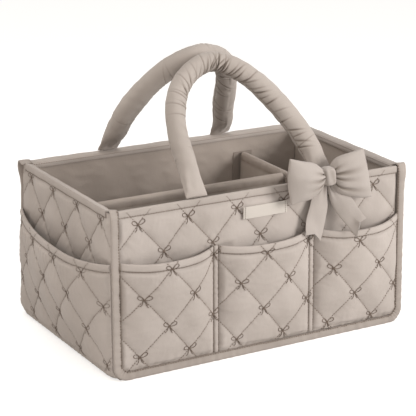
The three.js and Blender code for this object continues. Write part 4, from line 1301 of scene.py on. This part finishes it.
# Dividers
def build_divider(name, along_x):
    """A padded sleeve over its board, soft along the top, with a sewn line below the top edge."""
    low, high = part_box(f"{name}_sleeve")
    middle = (high + low) / 2
    start, end = (low.x, high.x) if along_x else (low.y, high.y)
    half = (high.y - low.y if along_x else high.x - low.x) / 2
    radius, slot_half, sewn_height, groove_width = 0.0036, 0.0016, high.z - 0.009, 0.0012

    def turned(place, side, z):
        """A point of a divider along x, or of one along y."""
        return np.stack([place, side + middle.y, z] if along_x else [middle.x - side, place, z], -1)

    profile = [(-half, low.z)]
    profile += [(-half, z) for z in steps(low.z + 0.004, high.z - radius - 0.001, 0.004)]
    profile += arc(radius - half, high.z - radius, radius, np.arange(180, 89, -15))
    profile += mirrored(profile)
    slot = [(-slot_half, high.z - half), (-slot_half, low.z)]
    profile = np.array([*profile, *mirrored(slot), *slot])
    place, side = grid_of(steps(start, end, LINING_PITCH), profile[:, 0])
    z = np.broadcast_to(profile[:, 1], place.shape)
    outer = np.abs(side) > slot_half * 1.5
    ease = smooth(0, 0.008, np.minimum(place - start, end - place)) * smooth(low.z, low.z + 0.01, z)
    full = 0.0007 * (0.3 + 0.6 * ripple(place, z, 0.05, 201)) + 0.00025 * ripple(place, z, 0.012, 202)
    line = bell((z - sewn_height) / groove_width)
    moved = side + np.sign(side) * outer * (np.minimum(full, 0.0012) * ease - 0.0006 * line - 0.0002)
    # The sewn groove is dented in, and painted shade darkens it
    soft_piece(f"{name}_padded_sleeve", f"{name}_sleeve", "lining", LINING_CLOTH, turned(place, moved, z),
               0.8 * line * outer, name, sharp=50, full=0.5)
    spots = steps(start + 0.002, end - 0.002, PATH_PITCH)
    faces = (np.full_like(spots, way * (half - 0.0005)) for way in (-1, 1))
    runs = [turned(spots, face, np.full_like(spots, sewn_height)) for face in faces]
    sew(f"{name}_stitches", runs, THREAD_SOFT, name)


build_divider("cross_divider", False)
build_divider("long_divider", True)

# Finishes of the frame's own pieces, by the last word of their names
OWN_FINISHES = {"board": BOARD, "strip": HOOK_TAPE, "core": PADDING, "tab": PLAIN_CLOTH}
for node_name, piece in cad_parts.items():
    piece.data.materials.clear()
    piece.data.materials.append(OWN_FINISHES.get(node_name.split("_")[-1], LINING_CLOTH))


# Camera, floor and light
def build_camera():
    """The camera as it was solved for the photo."""
    data = bpy.data.cameras.new("camera")
    data.sensor_width = 36.0
    data.lens = 144.23
    data.clip_start = 0.05
    data.clip_end = 60
    camera = shown("camera", data)
    right = Vector((0.85906, -0.51164, 0.01529))
    down = Vector((-0.14504, -0.27195, -0.95132))
    ahead = Vector((0.49089, 0.81503, -0.30783))
    turn = Matrix((right, -down, -ahead)).transposed().to_4x4()
    camera.matrix_world = Matrix.Translation((-0.9090, -1.4999, 0.6955)) @ turn
    bpy.context.scene.camera = camera


def seen_or_not(tree, unseen, seen):
    """One shader for what the camera sees, and another for all other light."""
    to_camera = node(tree, "ShaderNodeLightPath").outputs["Is Camera Ray"]
    inputs = {0: to_camera, 1: unseen.outputs[0], 2: seen.outputs[0]}
    return node(tree, "ShaderNodeMixShader", inputs).outputs[0]


def build_floor():
    """A pale floor that looks bright to the camera and only throws back the light that falls on it."""
    reach = 14.0
    corners = [(-reach, -reach, 0), (reach, -reach, 0), (reach, reach, 0), (-reach, reach, 0)]
    mesh = bpy.data.meshes.new("floor")
    mesh.from_pydata(corners, [], [(0, 1, 2, 3)])
    finish, tree, _ = material("pale_floor")
    tree.nodes.clear()
    matt = node(tree, "ShaderNodeBsdfDiffuse", {"Color": (0.62, 0.61, 0.60, 1)})
    dark = node(tree, "ShaderNodeEmission", {"Strength": 0.0})
    glow = node(tree, "ShaderNodeEmission", {"Color": (1.0, 0.99, 0.975, 1), "Strength": 0.62})
    both = node(tree, "ShaderNodeAddShader", {0: matt.outputs[0], 1: seen_or_not(tree, dark, glow)})
    node(tree, "ShaderNodeOutputMaterial", {"Surface": both.outputs[0]})
    mesh.materials.append(finish)
    shown("floor", mesh)


def build_lights():
    """Even light from all round, and four soft lamps: (name, place, size, power, colour)."""
    world = bpy.data.worlds.new("studio")
    bpy.context.scene.world = world
    world.use_nodes = True
    tree = world.node_tree
    tree.nodes.clear()
    around = node(tree, "ShaderNodeBackground", {"Color": (1.0, 0.985, 0.965, 1), "Strength": 0.50})
    backdrop = node(tree, "ShaderNodeBackground", {"Color": (1, 1, 1, 1), "Strength": 1.0})
    node(tree, "ShaderNodeOutputWorld", {"Surface": seen_or_not(tree, around, backdrop)})
    lamps = (
        ("key_light", (1.05, -1.25, 0.65), 0.8, 22.8, (1.0, 0.985, 0.965)),
        ("top_light", (-0.5, 0.2, 1.8), 1.2, 9.5, (1.0, 0.98, 0.95)),
        ("front_light", (-0.8, -1.4, 0.9), 1.0, 3.5, (1.0, 0.97, 0.93)),
        ("side_light", (-1.6, -0.2, 0.7), 1.0, 5.4, (1.0, 0.89, 0.78)),
    )
    for name, place, size, power, colour in lamps:
        data = bpy.data.lights.new(name, "AREA")
        data.shape = "DISK"
        data.size = size
        data.energy = power
        data.color = colour
        lamp = shown(name, data)
        lamp.location = place
        aim = Vector((0, 0, 0.1)) - Vector(place)
        lamp.rotation_euler = aim.to_track_quat("-Z", "Y").to_euler()


build_camera()
build_floor()
build_lights()
bpy.context.scene.view_settings.view_transform = "Standard"
